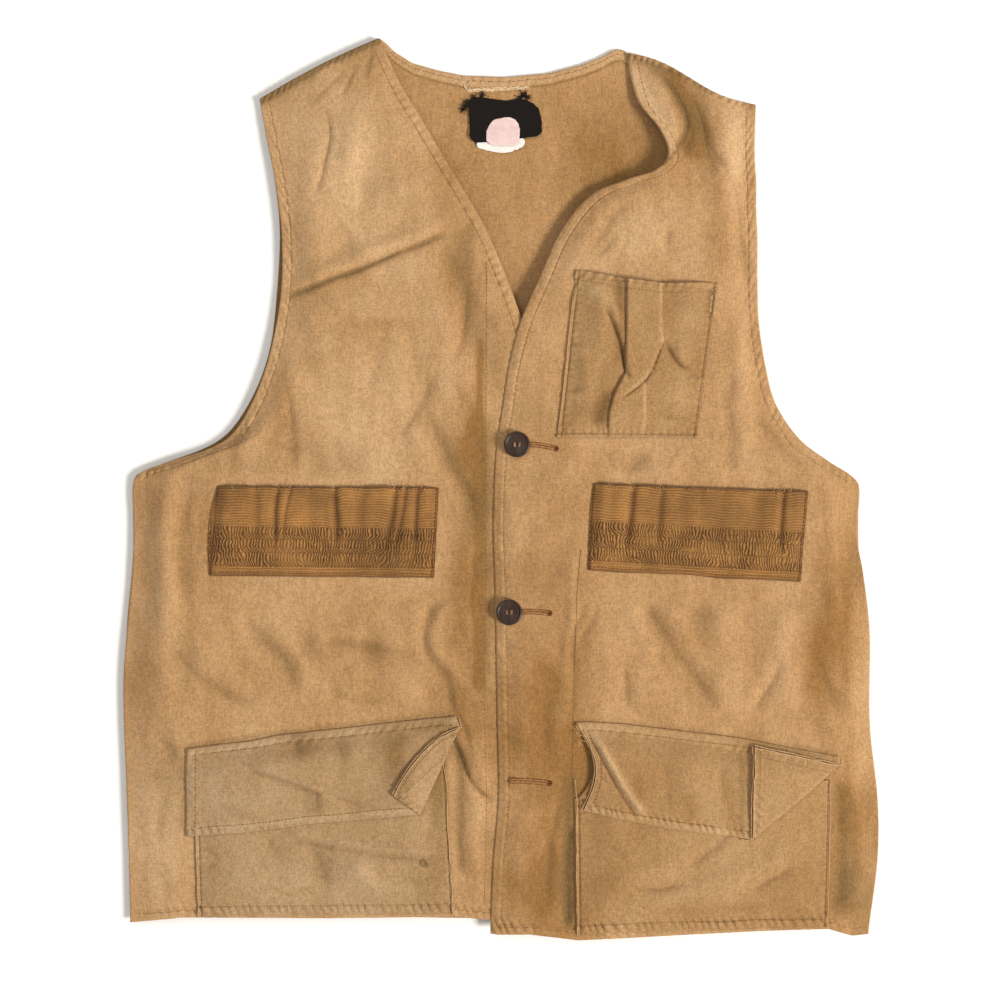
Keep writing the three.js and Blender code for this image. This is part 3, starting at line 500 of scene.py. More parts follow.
# Relief of the sewn-on pieces
HIP_FOLDS = table("x1 y1 x2 y2 half rise", [
    (-206, -300, -150, -316, 9, 1.8),
    (-120, -290, -60, -316, 10, 2.2),
    (60, -311, 138, -282, 8, 2.0),
    (154, -312, 217, -278, 9, 2.2),
    (96, -326, 176, -292, 6, 1.6),
])
HIP_CREASES = table("half rise path", [
    (2.4, -1.9, ((-168, -267), (-124, -275), (-90, -281), (-34, -284))),
    (3.4, 1.9, ((-168, -261), (-124, -269), (-90, -275), (-40, -278))),
    (4.0, -1.1, ((-182, -262), (-177, -274), (-172, -286))),
    (3.0, -0.9, ((-224, -306), (-206, -313), (-186, -311))),
    (5.0, -2.0, ((-110, -292), (-80, -300), (-46, -300))),
    (7.0, -2.0, ((-150, -270), (-138, -288), (-132, -312))),
    (8.0, 1.8, ((-120, -280), (-100, -300), (-92, -318))),
    (2.6, -2.0, ((92, -303), (113, -308), (142, -301))),
    (4.5, -1.6, ((136, -293), (156, -279), (178, -262))),
    (3.5, -2.0, ((62, -329), (105, -324), (159, -321), (202, -324))),
    (3.0, -1.5, ((186, -310), (206, -298), (228, -287))),
    (2.6, -1.4, ((224, -290), (234, -300), (246, -312))),
    (3.0, -1.3, ((222, -276), (244, -273))),
    (2.6, -1.2, ((58, -258), (80, -271), (98, -288))),
])
FLAP_RIGHT_FOLDS = table("x1 y1 x2 y2 half rise", [
    (-182, -206, -132, -234, 7, 1.6),
    (-70, -190, -84, -250, 12, 2),
])
FLAP_LEFT_FOLDS = table("x1 y1 x2 y2 half rise", [
    (140, -204, 146, -246, 12, 1.6),
])
FLAP_TUBE = ((62, -181), (72, -191), (84, -212.5), (95.8, -231.8), (105.5, -244.7), (111, -253))
FLAP_TUBE_FOOT = ((62, -186), (69, -193), (79.7, -214.6), (91.5, -236), (101.2, -249), (104, -255))
# Pale worn hem edges, and a pale band on the rolled tube that is partly wear and partly painted highlight.
FLAP_STREAKS = table("half fade path", [
    (2.8, 1.0, FLAP_TUBE),
    (3.0, 0.5, ((58, -181), (116, -186.5), (184, -195))),
    (3.0, 0.45, ((60, -243), (122, -255), (186, -263))),
    (3.0, 0.5, ((-244, -262), (-155, -252.5), (-60, -244))),
    (3.0, 0.4, ((-239, -196), (-239, -268))),
    (2.6, 0.45, ((-246, -203), (-148, -189.5), (-100, -184))),
])
FLAP_CREASES = table("half rise path", [
    (1.6, -2.2, ((-199, -213), (-174, -221), (-157, -227), (-134, -234))),
    (2.2, 2.3, ((-198, -209), (-172, -217), (-155, -223), (-132, -230))),
    (1.5, -1.3, ((-140, -232), (-112, -240), (-88, -245))),
    (2.4, 1.1, ((-138, -228), (-110, -236), (-88, -241))),
    (3.5, -1.3, ((-143, -228), (-140, -246))),
    (4.5, -1.2, ((-158, -184), (-152, -206))),
    (4.0, -1.2, ((-128, -186), (-122, -210))),
    (3.4, 3.4, FLAP_TUBE),
    (1.2, -1.4, FLAP_TUBE_FOOT),
    (1.6, 1.6, ((52, -188), (59, -182), (70, -181))),
    (1.4, 1.2, ((54, -192), (62, -188), (68, -184))),
    (2.4, -0.8, ((79, -195), (90, -213), (101, -231), (110, -243))),
    (5.0, -1.2, ((122, -198), (128, -246))),
    (5.0, -1.4, ((134, -230), (146, -252))),
    (4.0, -1.2, ((166, -206), (168, -240))),
])
# Painted shade on the flaps: under the top edges, beside the turned corners, along the foot of the rolled
# tube and in hollows between folds.
FLAP_PAINTED_SHADE = table("half rise path", [
    (5.0, -2.6, ((-72, -185), (-50, -181), (-34, -179))),
    (10.0, -1.8, ((-86, -232), (-70, -207), (-60, -188))),
    (0.9, -1.4, FLAP_TUBE_FOOT),
    (8.0, -1.3, ((-196, -192), (-182, -200), (-166, -208))),
    (7.0, -1.3, ((-164, -180), (-154, -200), (-150, -216))),
    (8.0, -1.4, ((-152, -222), (-144, -238), (-138, -256))),
    (5.0, -1.4, ((-218, -240), (-196, -250), (-176, -254))),
    (8.0, -1.2, ((-126, -176), (-118, -200), (-112, -222))),
    (3.5, -2.6, ((182, -196), (183, -230), (181, -272))),
    (2.5, -2.4, ((186, -195), (225, -201), (258, -208))),
    (5.0, -1.4, ((60, -186), (68, -192))),
])
PLEAT_LEFT = ((40.5, 80.9), (58, 81.4), (70.6, 84.8), (84, 91.7), (89, 94.0), (107, 94.7), (161, 95.6))
PLEAT_RIGHT = ((70, 92), (80, 106.2), (90.5, 114), (109, 120.8), (113.5, 122), (120, 120), (161, 120.8))
PLEAT_LOW_RIGHT = ((40, 107.6), (82, 108.5))
PLEAT_GROOVE = ((75, 144), (81, 133.5), (86.3, 121.2), (90.9, 106), (94, 89), (98, 80))
PLEAT_CURVE = ((123, 116), (114, 90.5), (106.2, 79.8), (87, 67))
PLEAT_STEP = 2.8
CHEST_CREASES = table("half rise path", [
    (1.9, -2.8, PLEAT_GROOVE),
    (3.4, 2.0, ((80, 143), (86, 134), (90, 120), (92.5, 104))),
    (6.0, 2.2, ((56, 155), (71, 152), (79, 142), (80, 122))),
    (7.0, 1.6, ((74, 136), (76, 108), (82, 92))),
    (1.2, -2.2, PLEAT_CURVE),
    (2.0, -2.2, ((122, 116), (128, 105), (132, 98), (138, 92.5), (147, 92))),
    (3.0, 1.5, ((131, 109), (136, 101), (143, 96))),
    (1.0, -1.6, ((94, 89), (98, 85.6))),
    (1.4, -1.6, ((56, 165), (52.5, 146), (50.5, 134))),
    (1.2, 1.2, ((60, 166), (55, 147), (51, 134))),
    (7.0, 1.6, ((60, 120), (66, 62))),
    (6.0, -1.6, ((83, 81), (74, 60), (69, 44))),
    (2.4, -1.0, ((45, 100), (65, 99))),
    (2.4, -1.0, ((43, 77), (61, 76))),
    (2.4, 0.8, ((44, 71), (62, 70))),
    (2.2, -1.1, ((140, 89), (157, 87))),
    (2.4, 0.9, ((140, 84), (156, 83))),
    (3.0, -0.8, ((112, 56), (148, 54))),
    (4.0, -1.4, ((159, 156), (159, 130))),
])
# Painted shade on the chest pocket: beside the pleat, in its grooves and down the left of its lower part.
CHEST_PAINTED_SHADE = table("half rise path", [
    (4.5, -3.0, ((89, 175), (90, 135), (91, 112), (93, 92))),
    (1.4, -3.0, PLEAT_GROOVE),
    (7.0, -2.2, ((86, 79), (77, 62), (72, 44))),
    (1.0, -2.6, ((81, 26), (81.4, 58), (84.6, 70), (93, 92))),
    (1.1, -2.8, PLEAT_CURVE),
    (1.8, -2.6, ((122, 116), (128, 105), (132, 98), (138, 92.5), (147, 92))),
    (5.0, -1.8, ((80, 130), (77, 112), (84, 95))),
    (3.0, -2.0, ((161, 157), (160, 128))),
    (2.5, -1.6, ((53, 162), (49, 132))),
    (5.0, -1.0, ((108, 150), (108, 118))),
])
# Painted highlights on the chest pocket: along the pleat's edges, on the left lobe's ridge and over the
# right lobe.
CHEST_PAINTED_LIGHT = table("half fade path", [
    (5.0, 0.55, ((56, 155), (72, 151), (84, 136))),
    (0.9, 1.2, ((121.6, 176), (121, 120), (123, 104))),
    (0.9, 1.0, ((109, 88), (108.4, 34))),
    (1.0, 0.45, ((112.5, 92), (104.5, 81.5), (93, 72.5))),
    (10, 0.45, ((142, 145), (138, 110), (132, 60))),
    (8, 0.35, ((54, 112), (52, 60))),
])

# Seam lines of the facings inside the front edges
FACING_LEFT = ((60, -46), (57, -80), (56, -116), (54, -178), (53.5, -238))
FACING_RIGHT = ((-12, 174), (-13, 7), (-13, -85), (-14, -162), (-12, -239), (-14, -322))

BUTTONS = table("name x y", [("upper", 11, 34), ("middle", 5, -94)])
BUTTONHOLES = table("x1 y1 x2 y2", [(21, 34, 41, 31), (15, -94, 36, -95), (6, -223, 36, -225)])

LABEL_EDGE = (
    (-25, 270), (-20, 267.5), (12, 271), (26, 272), (31, 275.5), (30.5, 285), (28, 295),
    (22, 300), (13, 303), (4, 300), (-8, 302), (-17, 303.5), (-26, 301), (-26, 294),
)

# Tucks of the shell bands: share across at the top and at the foot, half width and depth.
BAND_RIGHT_TUCKS = table("top low half depth", [
    (0.18, 0.20, 3.4, 1.5), (0.275, 0.28, 2.6, 2.8), (0.33, 0.30, 1.8, 1.4), (0.43, 0.44, 6.0, 1.0),
    (0.525, 0.58, 2.8, 3.1), (0.66, 0.67, 6.0, 0.9), (0.80, 0.785, 2.8, 2.8), (0.85, 0.81, 2.0, 1.8),
    (0.90, 0.925, 2.4, 2.6),
])
BAND_LEFT_TUCKS = table("top low half depth", [
    (0.09, 0.10, 4.0, 1.1), (0.18, 0.165, 3.0, 2.8), (0.31, 0.33, 2.8, 2.0), (0.43, 0.44, 6.0, 1.2),
    (0.60, 0.60, 5.0, 1.0), (0.77, 0.79, 7.0, 1.8), (0.885, 0.905, 2.6, 2.8),
])

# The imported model's place, read off its upper button.
low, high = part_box("button_upper")
SHIFT = np.array([
    (low[0] + high[0]) / 2 / MM - BUTTONS[0]["x"],
    (low[1] + high[1]) / 2 / MM - BUTTONS[0]["y"],
    0.0,
])


# Shape functions
def ease(value):
    t = np.clip(value, 0, 1)
    return t * t * (3 - 2 * t)


def bell(value):
    return np.exp(-(value**2))


def blend(first, second, share):
    return first + (second - first) * share


def read_curve(points, x):
    return np.interp(x, [p[0] for p in points], [p[1] for p in points])


def soft_noise(x, y, size, seed):
    lattice = np.random.default_rng(seed).standard_normal((NOISE_SIDE, NOISE_SIDE))
    u = np.asarray(x) / size + NOISE_START
    v = np.asarray(y) / size + NOISE_START
    i = np.floor(u).astype(int)
    j = np.floor(v).astype(int)
    a = ease(u - i)
    b = ease(v - j)
    corner = lambda di, dj: lattice[(i + di) % NOISE_SIDE, (j + dj) % NOISE_SIDE]
    near = corner(0, 0) * (1 - a) + corner(1, 0) * a
    far = corner(0, 1) * (1 - a) + corner(1, 1) * a
    return near * (1 - b) + far * b


def fold_height(folds, x, y):
    height = np.zeros_like(x, dtype=float)
    for fold in folds:
        along_x = fold["x2"] - fold["x1"]
        along_y = fold["y2"] - fold["y1"]
        length = math.hypot(along_x, along_y)
        t = ((x - fold["x1"]) * along_x + (y - fold["y1"]) * along_y) / length**2
        across = ((x - fold["x1"]) * along_y - (y - fold["y1"]) * along_x) / length
        ends = ease((t + FOLD_FADE) / (2 * FOLD_FADE)) * ease((1 + FOLD_FADE - t) / (2 * FOLD_FADE))
        height += fold["rise"] * ends * bell(across / fold["half"])
    return height


# A path with its corners rounded off.
def rounded(path):
    path = np.array(path, dtype=float)
    for _ in range(2 if len(path) > 2 else 0):
        near = 0.75 * path[:-1] + 0.25 * path[1:]
        far = 0.25 * path[:-1] + 0.75 * path[1:]
        path = np.concatenate([path[:1], np.stack([near, far], axis=1).reshape(-1, 2), path[-1:]])
    return path


# How far a place is from a path, and how strongly the path counts there: it fades toward both ends.
def path_distance(x, y, path, share, reach):
    steps = np.linalg.norm(np.diff(path, axis=0), axis=1)
    total = steps.sum()
    nearest = np.full(np.shape(x), 1e9)
    run = np.zeros(np.shape(x))
    before = 0.0
    for (x1, y1), (x2, y2), step in zip(path, path[1:], steps):
        dx, dy = x2 - x1, y2 - y1
        t = np.clip(((x - x1) * dx + (y - y1) * dy) / step**2, 0, 1)
        off = np.hypot(x - x1 - t * dx, y - y1 - t * dy)
        run = np.where(off < nearest, before + t * step, run)
        nearest = np.minimum(nearest, off)
        before += step
    return nearest, ease(np.minimum(run, total - run) / min(share * total, reach))


def along_paths(marks, key, x, y, power, share=PATH_FADE_SHARE, ends=PATH_FADE):
    amount = np.zeros(np.shape(x))
    for mark in marks:
        path = rounded(mark["path"])
        reach = 3 * mark["half"]
        low, high = path.min(axis=0) - reach, path.max(axis=0) + reach
        near = (x > low[0]) & (x < high[0]) & (y > low[1]) & (y < high[1])
        off, weight = path_distance(x[near], y[near], path, share, ends)
        amount[near] += mark[key] * weight * np.exp(-((off / mark["half"]) ** power))
    return amount


def crease_height(creases, x, y):
    return along_paths(creases, "rise", x, y, CREASE_POWER)


def drift(x, y):
    return x + DRIFT * soft_noise(x, y, DRIFT_SIZE, 13), y + DRIFT * soft_noise(x, y, DRIFT_SIZE, 14)


def calm_at(x, y):
    calm = np.zeros_like(x, dtype=float)
    for area in CALM:
        out_x = np.maximum(np.maximum(area["x1"] - x, x - area["x2"]), 0)
        out_y = np.maximum(np.maximum(area["y1"] - y, y - area["y2"]), 0)
        calm = np.maximum(calm, 1 - ease(np.hypot(out_x, out_y) / CALM_FADE))
    return calm


# Sharp little valleys along the wandering zero lines of a soft noise.
def crumple(x, y, size, seed, sharp):
    lines = bell(soft_noise(x, y, size, seed) / sharp)
    return -lines * np.clip(soft_noise(x, y, size * 1.7, seed + 50), 0, 1)


def front_relief(x, y):
    wx, wy = drift(x, y)
    wrinkles = 0.6 * soft_noise(wx, wy, 42, 3) + 0.55 * soft_noise(wx, wy * 0.5, 18, 4)
    wrinkles = wrinkles + 0.3 * soft_noise(wx + 0.4 * wy, wy * 0.45, 10, 5)
    wrinkles = wrinkles + 0.5 * crumple(wx, wy * 0.7, 30, 15, 0.3)
    wrinkles = wrinkles + 0.4 * crumple(wx + 0.3 * wy, wy * 0.6, 16, 16, 0.34)
    calm = calm_at(x, y)
    creases = along_paths(FRONT_CREASES, "rise", wx, wy, CREASE_POWER, LONG_FADE_SHARE, LONG_FADE)
    folds = fold_height(FOLDS, wx, wy) + creases
    return (folds + wrinkles) * (1 - calm) + 0.2 * wrinkles * calm + crease_height(FREE_CREASES, wx, wy)


def crown(y):
    return FRONT_HEIGHT - HEM_DROP * (1 - ease((y - HEM_LINE) / HEM_SLOPE))


def front_height(x, y):
    return crown(y) + front_relief(x, y)


def lap_height(x, y):
    slope = np.clip((LAP_END - x) / (LAP_END - LAP_EDGE), 0, 1)
    return front_height(x, y) + LAP_LIFT * slope


# Pale and darker tone from noise, patches and streaks: fading and dirt, with painted light and shade in some
# patches and streaks.
def fade_at(x, y, patches, streaks):
    fade = 0.16 * soft_noise(x, y, 70, 11) + 0.1 * soft_noise(x, y, 26, 12)
    for patch in patches:
        far = ((x - patch["x"]) / patch["half_x"]) ** 2 + ((y - patch["y"]) / patch["half_y"]) ** 2
        fade = fade + patch["fade"] * np.exp(-far)
    return fade + along_paths(streaks, "fade", x, y, STREAK_POWER)


def spots_at(x, y):
    dark = np.zeros_like(x, dtype=float)
    for spot in SPOTS:
        off = np.hypot(x - spot["x"], y - spot["y"]) - spot["radius"]
        dark = dark - spot["depth"] * bell(off)
    return dark


def row_at(rows, place):
    last = len(rows) - 1
    k = np.clip(np.floor(place).astype(int), 0, last - 1)
    t = place - k
    row = {}
    for key in rows[0]:
        v = np.array([one[key] for one in rows], dtype=float)
        a, b, c, d = v[np.maximum(k - 1, 0)], v[k], v[k + 1], v[np.minimum(k + 2, last)]
        bend = (2 * a - 5 * b + 4 * c - d) * t**2 + (3 * b - 3 * c + d - a) * t**3
        row[key] = b + 0.5 * ((c - a) * t + bend)
    return row


# A turned and stitched hem: thicker to its stitch line, with a groove there and slanting puckers along it.
def hem_relief(off, along, width=EDGE_HEM, seed=21, pitch=6.5, pucker=0.95):
    body = 0.5 * (1 - ease((off - width) / 1.4)) * ease(off)
    groove = -0.9 * bell((off - width + 0.8) / 0.9)
    phase = along / pitch + 0.08 * off + 0.4 * soft_noise(along, off * 0, 14, seed)
    firm = np.clip(0.85 + 0.5 * soft_noise(along, off * 0, 23, seed + 100), 0.3, 1.6)
    near = bell((off - width * 0.62) / (width * 0.5))
    return body + groove + pucker * firm * np.sin(2 * np.pi * phase) * near


# A seam sewn close to a turned edge: a raised cord and a groove inside it.
def cord_relief(off, along, seed):
    cord = 0.6 * bell((off - 0.9) / 0.9)
    groove = -0.9 * bell((off - 2.7) / 0.8)
    pucker = np.sin(2 * np.pi * along / 5.5 + 2.2 * soft_noise(along, off * 0, 15, seed))
    return cord + groove + 0.35 * pucker * bell((off - 4.4) / 3.0)


def row_width(row):
    return np.hypot(row["edge_x"] - row["side_x"], row["edge_y"] - row["side_y"])


# How squarely a row meets the side edge: 1 where they cross at a right angle.
def side_lean(rows, place):
    last = len(rows) - 1
    here = row_at(rows, place)
    after = row_at(rows, np.minimum(place + 0.1, last))
    before = row_at(rows, np.maximum(place - 0.1, 0))
    run_x, run_y = after["side_x"] - before["side_x"], after["side_y"] - before["side_y"]
    row_x, row_y = here["edge_x"] - here["side_x"], here["edge_y"] - here["side_y"]
    cross = np.abs(run_x * row_y - run_y * row_x)
    return np.maximum(cross / (np.hypot(run_x, run_y) * np.hypot(row_x, row_y)), 0.3)


def front_surface(rows, height, wave, armpit, rest, bow):
    def surface(place, u, with_trim=False):
        row = row_at(rows, place)
        foot = row_at(rows, place * 0)
        x = blend(row["side_x"], row["edge_x"], u)
        flat_y = blend(row["side_y"], row["edge_y"], u)
        foot_y = blend(foot["side_y"], foot["edge_y"], u)
        width = row_width(row)
        y = flat_y + read_curve(wave, x) * (1 - ease((flat_y - HEM_LINE) / HEM_BLEND))
        turn = np.pi * np.clip(u, 0, 1)
        y = y + (bow[0] * np.sin(turn) + bow[1] * np.sin(2 * turn)) * row["seam"]
        by_side = ease(u * width / SIDE_TURN)
        by_edge = ease((1 - u) * width / EDGE_TURN)
        turned = blend(row["side_z"], height(x, y), by_side)
        lapped = 1 - ease(place - LAP_ROWS + 0.5)
        edge_z = blend(row["edge_z"], front_height(x, y) + rest, lapped)
        rolled = blend(edge_z, turned, by_edge)
        z = blend(rolled, SEAM_FRONT, row["seam"])
        free = 1 - row["seam"]
        open_side = ease(place - armpit)
        from_side = u * width * side_lean(rows, place)
        from_top = (len(rows) - 1 - place) * SHOULDER_ROW
        trim = hem_relief((1 - u) * width, y) * free
        trim = trim + hem_relief(from_side, y - np.abs(x), ARM_HEM, seed=22, pitch=10) * open_side * free
        trim = trim + hem_relief(flat_y - foot_y, x, FOOT_HEM, seed=23) * by_side
        trim = trim + 0.5 * hem_relief(from_top, x, SHOULDER_HEM, seed=25, pitch=5.5, pucker=1.3)
        points = np.stack([x, y, z + trim], axis=-1)
        return (points, trim) if with_trim else points
    return surface


def back_surface(place, u, with_hem=False):
    row = row_at(BACK_ROWS, place)
    top = BACK_ROWS[-1]
    width = row["right_x"] - row["left_x"]
    x = row["left_x"] + width * u
    flat_y = blend(row["left_y"], row["right_y"], u)
    rise = read_curve(NECK_CURVE, blend(top["left_x"], top["right_x"], u))
    y = flat_y + rise * ease((flat_y - NECK_START) / (NECK_TOP - NECK_START))
    top_y = blend(top["left_y"], top["right_y"], u) + rise
    from_top = top_y - y
    by_left = 1 - ease(u * width / SIDE_TURN)
    by_right = 1 - ease((1 - u) * width / SIDE_TURN)
    raised = row["z"] - BACK_FLAT
    z = BACK_FLAT + raised * by_left + raised * by_right
    first, second = SHOULDERS
    past = np.maximum(np.maximum(x - first, second - x) - (second - first), 0)
    on_shoulder = ease((past + 6) / 12) * ease(place - (len(BACK_ROWS) - 2))
    z = blend(z, SEAM_BACK, on_shoulder)
    wrinkles = 0.35 * soft_noise(x, y, 48, 6) + 0.18 * soft_noise(x, y, 20, 7)
    lift = np.maximum(wrinkles + 0.3, 0) * (1 - by_left) * (1 - by_right)
    neck = (hem_relief(from_top, x, NECK_STITCH_LINE, seed=24, pitch=7) + 0.5) * (1 - on_shoulder)
    neck = neck * ease((x - first) / 10) * ease((second - x) / 10)
    turned = 0.9 * np.maximum(neck * ease((NECK_HEM - from_top) / 1.5), -0.3)
    points = np.stack([x, y, z + lift * ease(from_top / 12) + turned], axis=-1)
    return (points, from_top) if with_hem else points


# Sewn-on pieces: a point from the share across and the share up.
def patch_point(lines, across, up, bow=0, bulge=0):
    stops = np.linspace(0, 1, len(lines))
    pick = lambda key: np.interp(across, stops, [line[key] for line in lines])
    low_x, low_y, top_x, top_y = (pick(key) for key in ("low_x", "low_y", "top_x", "top_y"))
    inward = bow * np.sin(np.pi * up) * (1 - ease(across / BOW_SHARE))
    inward = inward + bulge * np.sin(np.pi * up) * ease((across - (1 - BULGE_SHARE)) / BULGE_SHARE)
    x = blend(low_x, top_x, up) + inward
    y = blend(low_y, top_y, up)
    return x + EDGE_WAVER * soft_noise(y, x, 26, 81), y + EDGE_WAVER * soft_noise(x, y, 26, 82)


def to_line(x, y, a, b):
    length = math.hypot(b[0] - a[0], b[1] - a[1])
    return ((b[0] - a[0]) * (y - a[1]) - (b[1] - a[1]) * (x - a[0])) / length


def corners_of(lines):
    first, last = lines[0], lines[-1]
    return (
        (first["low_x"], first["low_y"]), (last["low_x"], last["low_y"]),
        (last["top_x"], last["top_y"]), (first["top_x"], first["top_y"]),
    )


def from_sides(lines, x, y):
    a, b, c, d = corners_of(lines)
    return np.minimum(to_line(x, y, d, a), to_line(x, y, b, c))


# How far a place is from the nearest of the three sewn edges, the mouth being open.
def from_sewn(lines, x, y):
    a, b, _, _ = corners_of(lines)
    return np.minimum(to_line(x, y, a, b), from_sides(lines, x, y))


def pocket_swell(lines, rise, turn, x, y):
    return rise * ease(from_sewn(lines, x, y) / turn)


def hip_rise(lines, x, y):
    swell = pocket_swell(lines, POCKET_RISE, POCKET_TURN, x, y)
    relief = fold_height(HIP_FOLDS, x, y) + crease_height(HIP_CREASES, x, y)
    relief = relief + 0.35 * soft_noise(x, y, 30, 41) + 0.15 * soft_noise(x, y, 12, 42)
    relief = relief + 0.5 * crumple(x, y, 22, 45, 0.3) + 0.3 * crumple(x, y, 11, 46, 0.34)
    return swell + relief * swell / POCKET_RISE


def sewn_edges(lines, x, y):
    a, b, c, d = corners_of(lines)
    left = to_line(x, y, d, a)
    right = to_line(x, y, b, c)
    foot = to_line(x, y, a, b)
    return cord_relief(left, y, 32) + cord_relief(right, y, 33), foot, to_line(x, y, c, d)


def hip_surface(lines, height, dip):
    def surface(up, across):
        x, y = patch_point(lines, across, up)
        y = y - dip * up**2 * (1 - ease(across / MOUTH_DIP_SHARE))
        sides, foot, _ = sewn_edges(lines, x, y)
        z = height(x, y) + ON_FRONT + hip_rise(lines, x, y) + sides
        z = z + hem_relief(foot, x, POCKET_HEM, seed=23)
        return np.stack([x, y, z], axis=-1)
    return surface


def pleat_height(x, y):
    left = ease(x - read_curve(PLEAT_LEFT, y) + 0.5)
    upper = left * ease(read_curve(PLEAT_RIGHT, y) - x + 0.5) * ease((y - 69) / 3)
    lower = left * ease(read_curve(PLEAT_LOW_RIGHT, y) - x + 0.5)
    return PLEAT_STEP * np.maximum(upper, 0.6 * lower * (1 - ease((y - 80) / 5)))


def chest_surface(up, across):
    x, y = patch_point(CHEST, across, up)
    swell = pocket_swell(CHEST, CHEST_RISE, CHEST_TURN, x, y)
    sides, foot, mouth = sewn_edges(CHEST, x, y)
    relief = crease_height(CHEST_CREASES, x, y) + 0.3 * soft_noise(x, y, 22, 43)
    relief = relief + 0.12 * soft_noise(x, y, 9, 44) + 0.35 * crumple(x, y, 14, 47, 0.3)
    held = ease(foot / 9)
    pleat = pleat_height(x, y) * (0.25 + 0.75 * held)
    z = lap_height(x, y) + ON_FRONT + swell + pleat + relief * held + sides
    z = z + cord_relief(foot, x, 34) + hem_relief(mouth, x, MOUTH_HEM, seed=35, pitch=8, pucker=0.5)
    return np.stack([x, y, z], axis=-1)


def flap_surface(lines, pocket, height, folds, crease, bow, bulge):
    a, b, c, d = corners_of(lines)
    crease_a, crease_b = (np.array(p, dtype=float) for p in crease)
    along = (crease_b - crease_a) / np.linalg.norm(crease_b - crease_a)
    out = np.array([-along[1], along[0]])
    out = out * np.sign(np.dot(np.array(b) - crease_a, out))

    def lay(x, y):
        down = to_line(x, y, c, d)
        ripple = np.maximum(fold_height(folds, x, y), 0) + crease_height(FLAP_CREASES, x, y)
        on_pocket = ease(from_sides(pocket, x, y) / 5 + 1)
        over = hip_rise(pocket, x, y) + (CANVAS + FLAP_CLEAR) * on_pocket
        over = over + 0.3 + 0.25 * soft_noise(x, y, 18, 51)
        return height(x, y) + ON_FRONT + ease(down / FLAP_TURN) * (over + ripple)

    def surface(up, across, with_relief=False):
        x, y = patch_point(lines, across, up, bow, bulge)
        corner = bow * (1 - ease(across / 0.06)) * ease((up - 0.6) / 0.4)
        x, y = x + 0.1 * corner, y - 0.1 * corner
        edge = hem_relief(to_line(x, y, a, b), x, FLAP_HEM, seed=52, pitch=6, pucker=0.8)
        edge = edge + hem_relief(to_line(x, y, c, d), x, FLAP_TOP_HEM, seed=53, pitch=8, pucker=0.6)
        edge = edge + hem_relief(to_line(x, y, d, a), y, FLAP_HEM, seed=54, pitch=7, pucker=0.7)
        edge = edge + hem_relief(to_line(x, y, b, c), y, FLAP_HEM, seed=55, pitch=7, pucker=0.4)
        beyond = (x - crease_a[0]) * out[0] + (y - crease_a[1]) * out[1]
        arc = math.pi * CREASE_RADIUS
        angle = np.clip(beyond, 0, arc) / CREASE_RADIUS
        flat = np.maximum(beyond - arc, 0)
        shift = np.minimum(-beyond, 0) + CREASE_RADIUS * np.sin(angle) - flat
        px = x + out[0] * shift
        py = y + out[1] * shift
        turned = CREASE_RADIUS * (1 - np.cos(angle)) + CORNER_SPRING * flat
        side = np.where(beyond > arc / 2, -1, 1)
        points = np.stack([px, py, lay(px, py) + turned + 0.8 * edge * side], axis=-1)
        if not with_relief:
            return points
        # Folds, creases and hems count as relief for painted light and shade, and the cloth along the turned
        # crease is painted darker as shade.
        own = fold_height(folds, px, py) * 0.5 + crease_height(FLAP_CREASES, px, py)
        return points, (own + edge) * side - 0.36 * bell(beyond / 3)
    return surface


def band_surface(lines, height, tucks, bow):
    a, b, _, _ = corners_of(lines)
    wide = math.dist(a, b)

    def surface(up, across):
        x, y = patch_point(lines, across, up, bow)
        foot = to_line(x, y, a, b)
        ends = ease(from_sides(lines, x, y) / 9)
        loop = np.abs(np.sin(np.pi * BAND_LOOPS * np.clip(across, 0, 1))) ** 0.6
        lift = BAND_RISE * (0.8 + 0.2 * loop) * ease(foot / BAND_FOOT) * ends
        open_top = ease((foot - 10) / 26)
        for tuck in tucks:
            middle = blend(tuck["low"], tuck["top"], up) + 0.006 * np.sin(4 * up + 30 * tuck["low"])
            off = (across - middle) * wide / tuck["half"]
            lift = lift - tuck["depth"] * open_top * bell(off)
        lift = lift * (0.9 + 0.1 * soft_noise(x, y, 30, 61))
        smocked = ease((foot - SMOCK_LOW) / 2) * ease((SMOCK_HIGH - foot) / 2)
        gather = 0.2 * np.sin(2 * np.pi * (x + 2.2 * np.abs((foot / SMOCK_ROW) % 2 - 1)) / 2.6)
        rows = -0.5 * bell(((foot - SMOCK_START) % SMOCK_ROW - SMOCK_ROW / 2) / 0.8)
        z = height(x, y) + BAND_BASE + np.maximum(lift, 0.0) + smocked * (gather + rows)
        return np.stack([x, y, z], axis=-1)
    return surface


# Mesh making
def link_object(name, data):
    obj = bpy.data.objects.new(name, data)
    bpy.context.scene.collection.objects.link(obj)
    return obj


def plain_object(name, points, faces):
    mesh = bpy.data.meshes.new(name)
    mesh.from_pydata(((points + SHIFT) * MM).tolist(), [], faces)
    mesh.polygons.foreach_set("use_smooth", np.ones(len(faces), dtype=bool))
    return link_object(name, mesh)


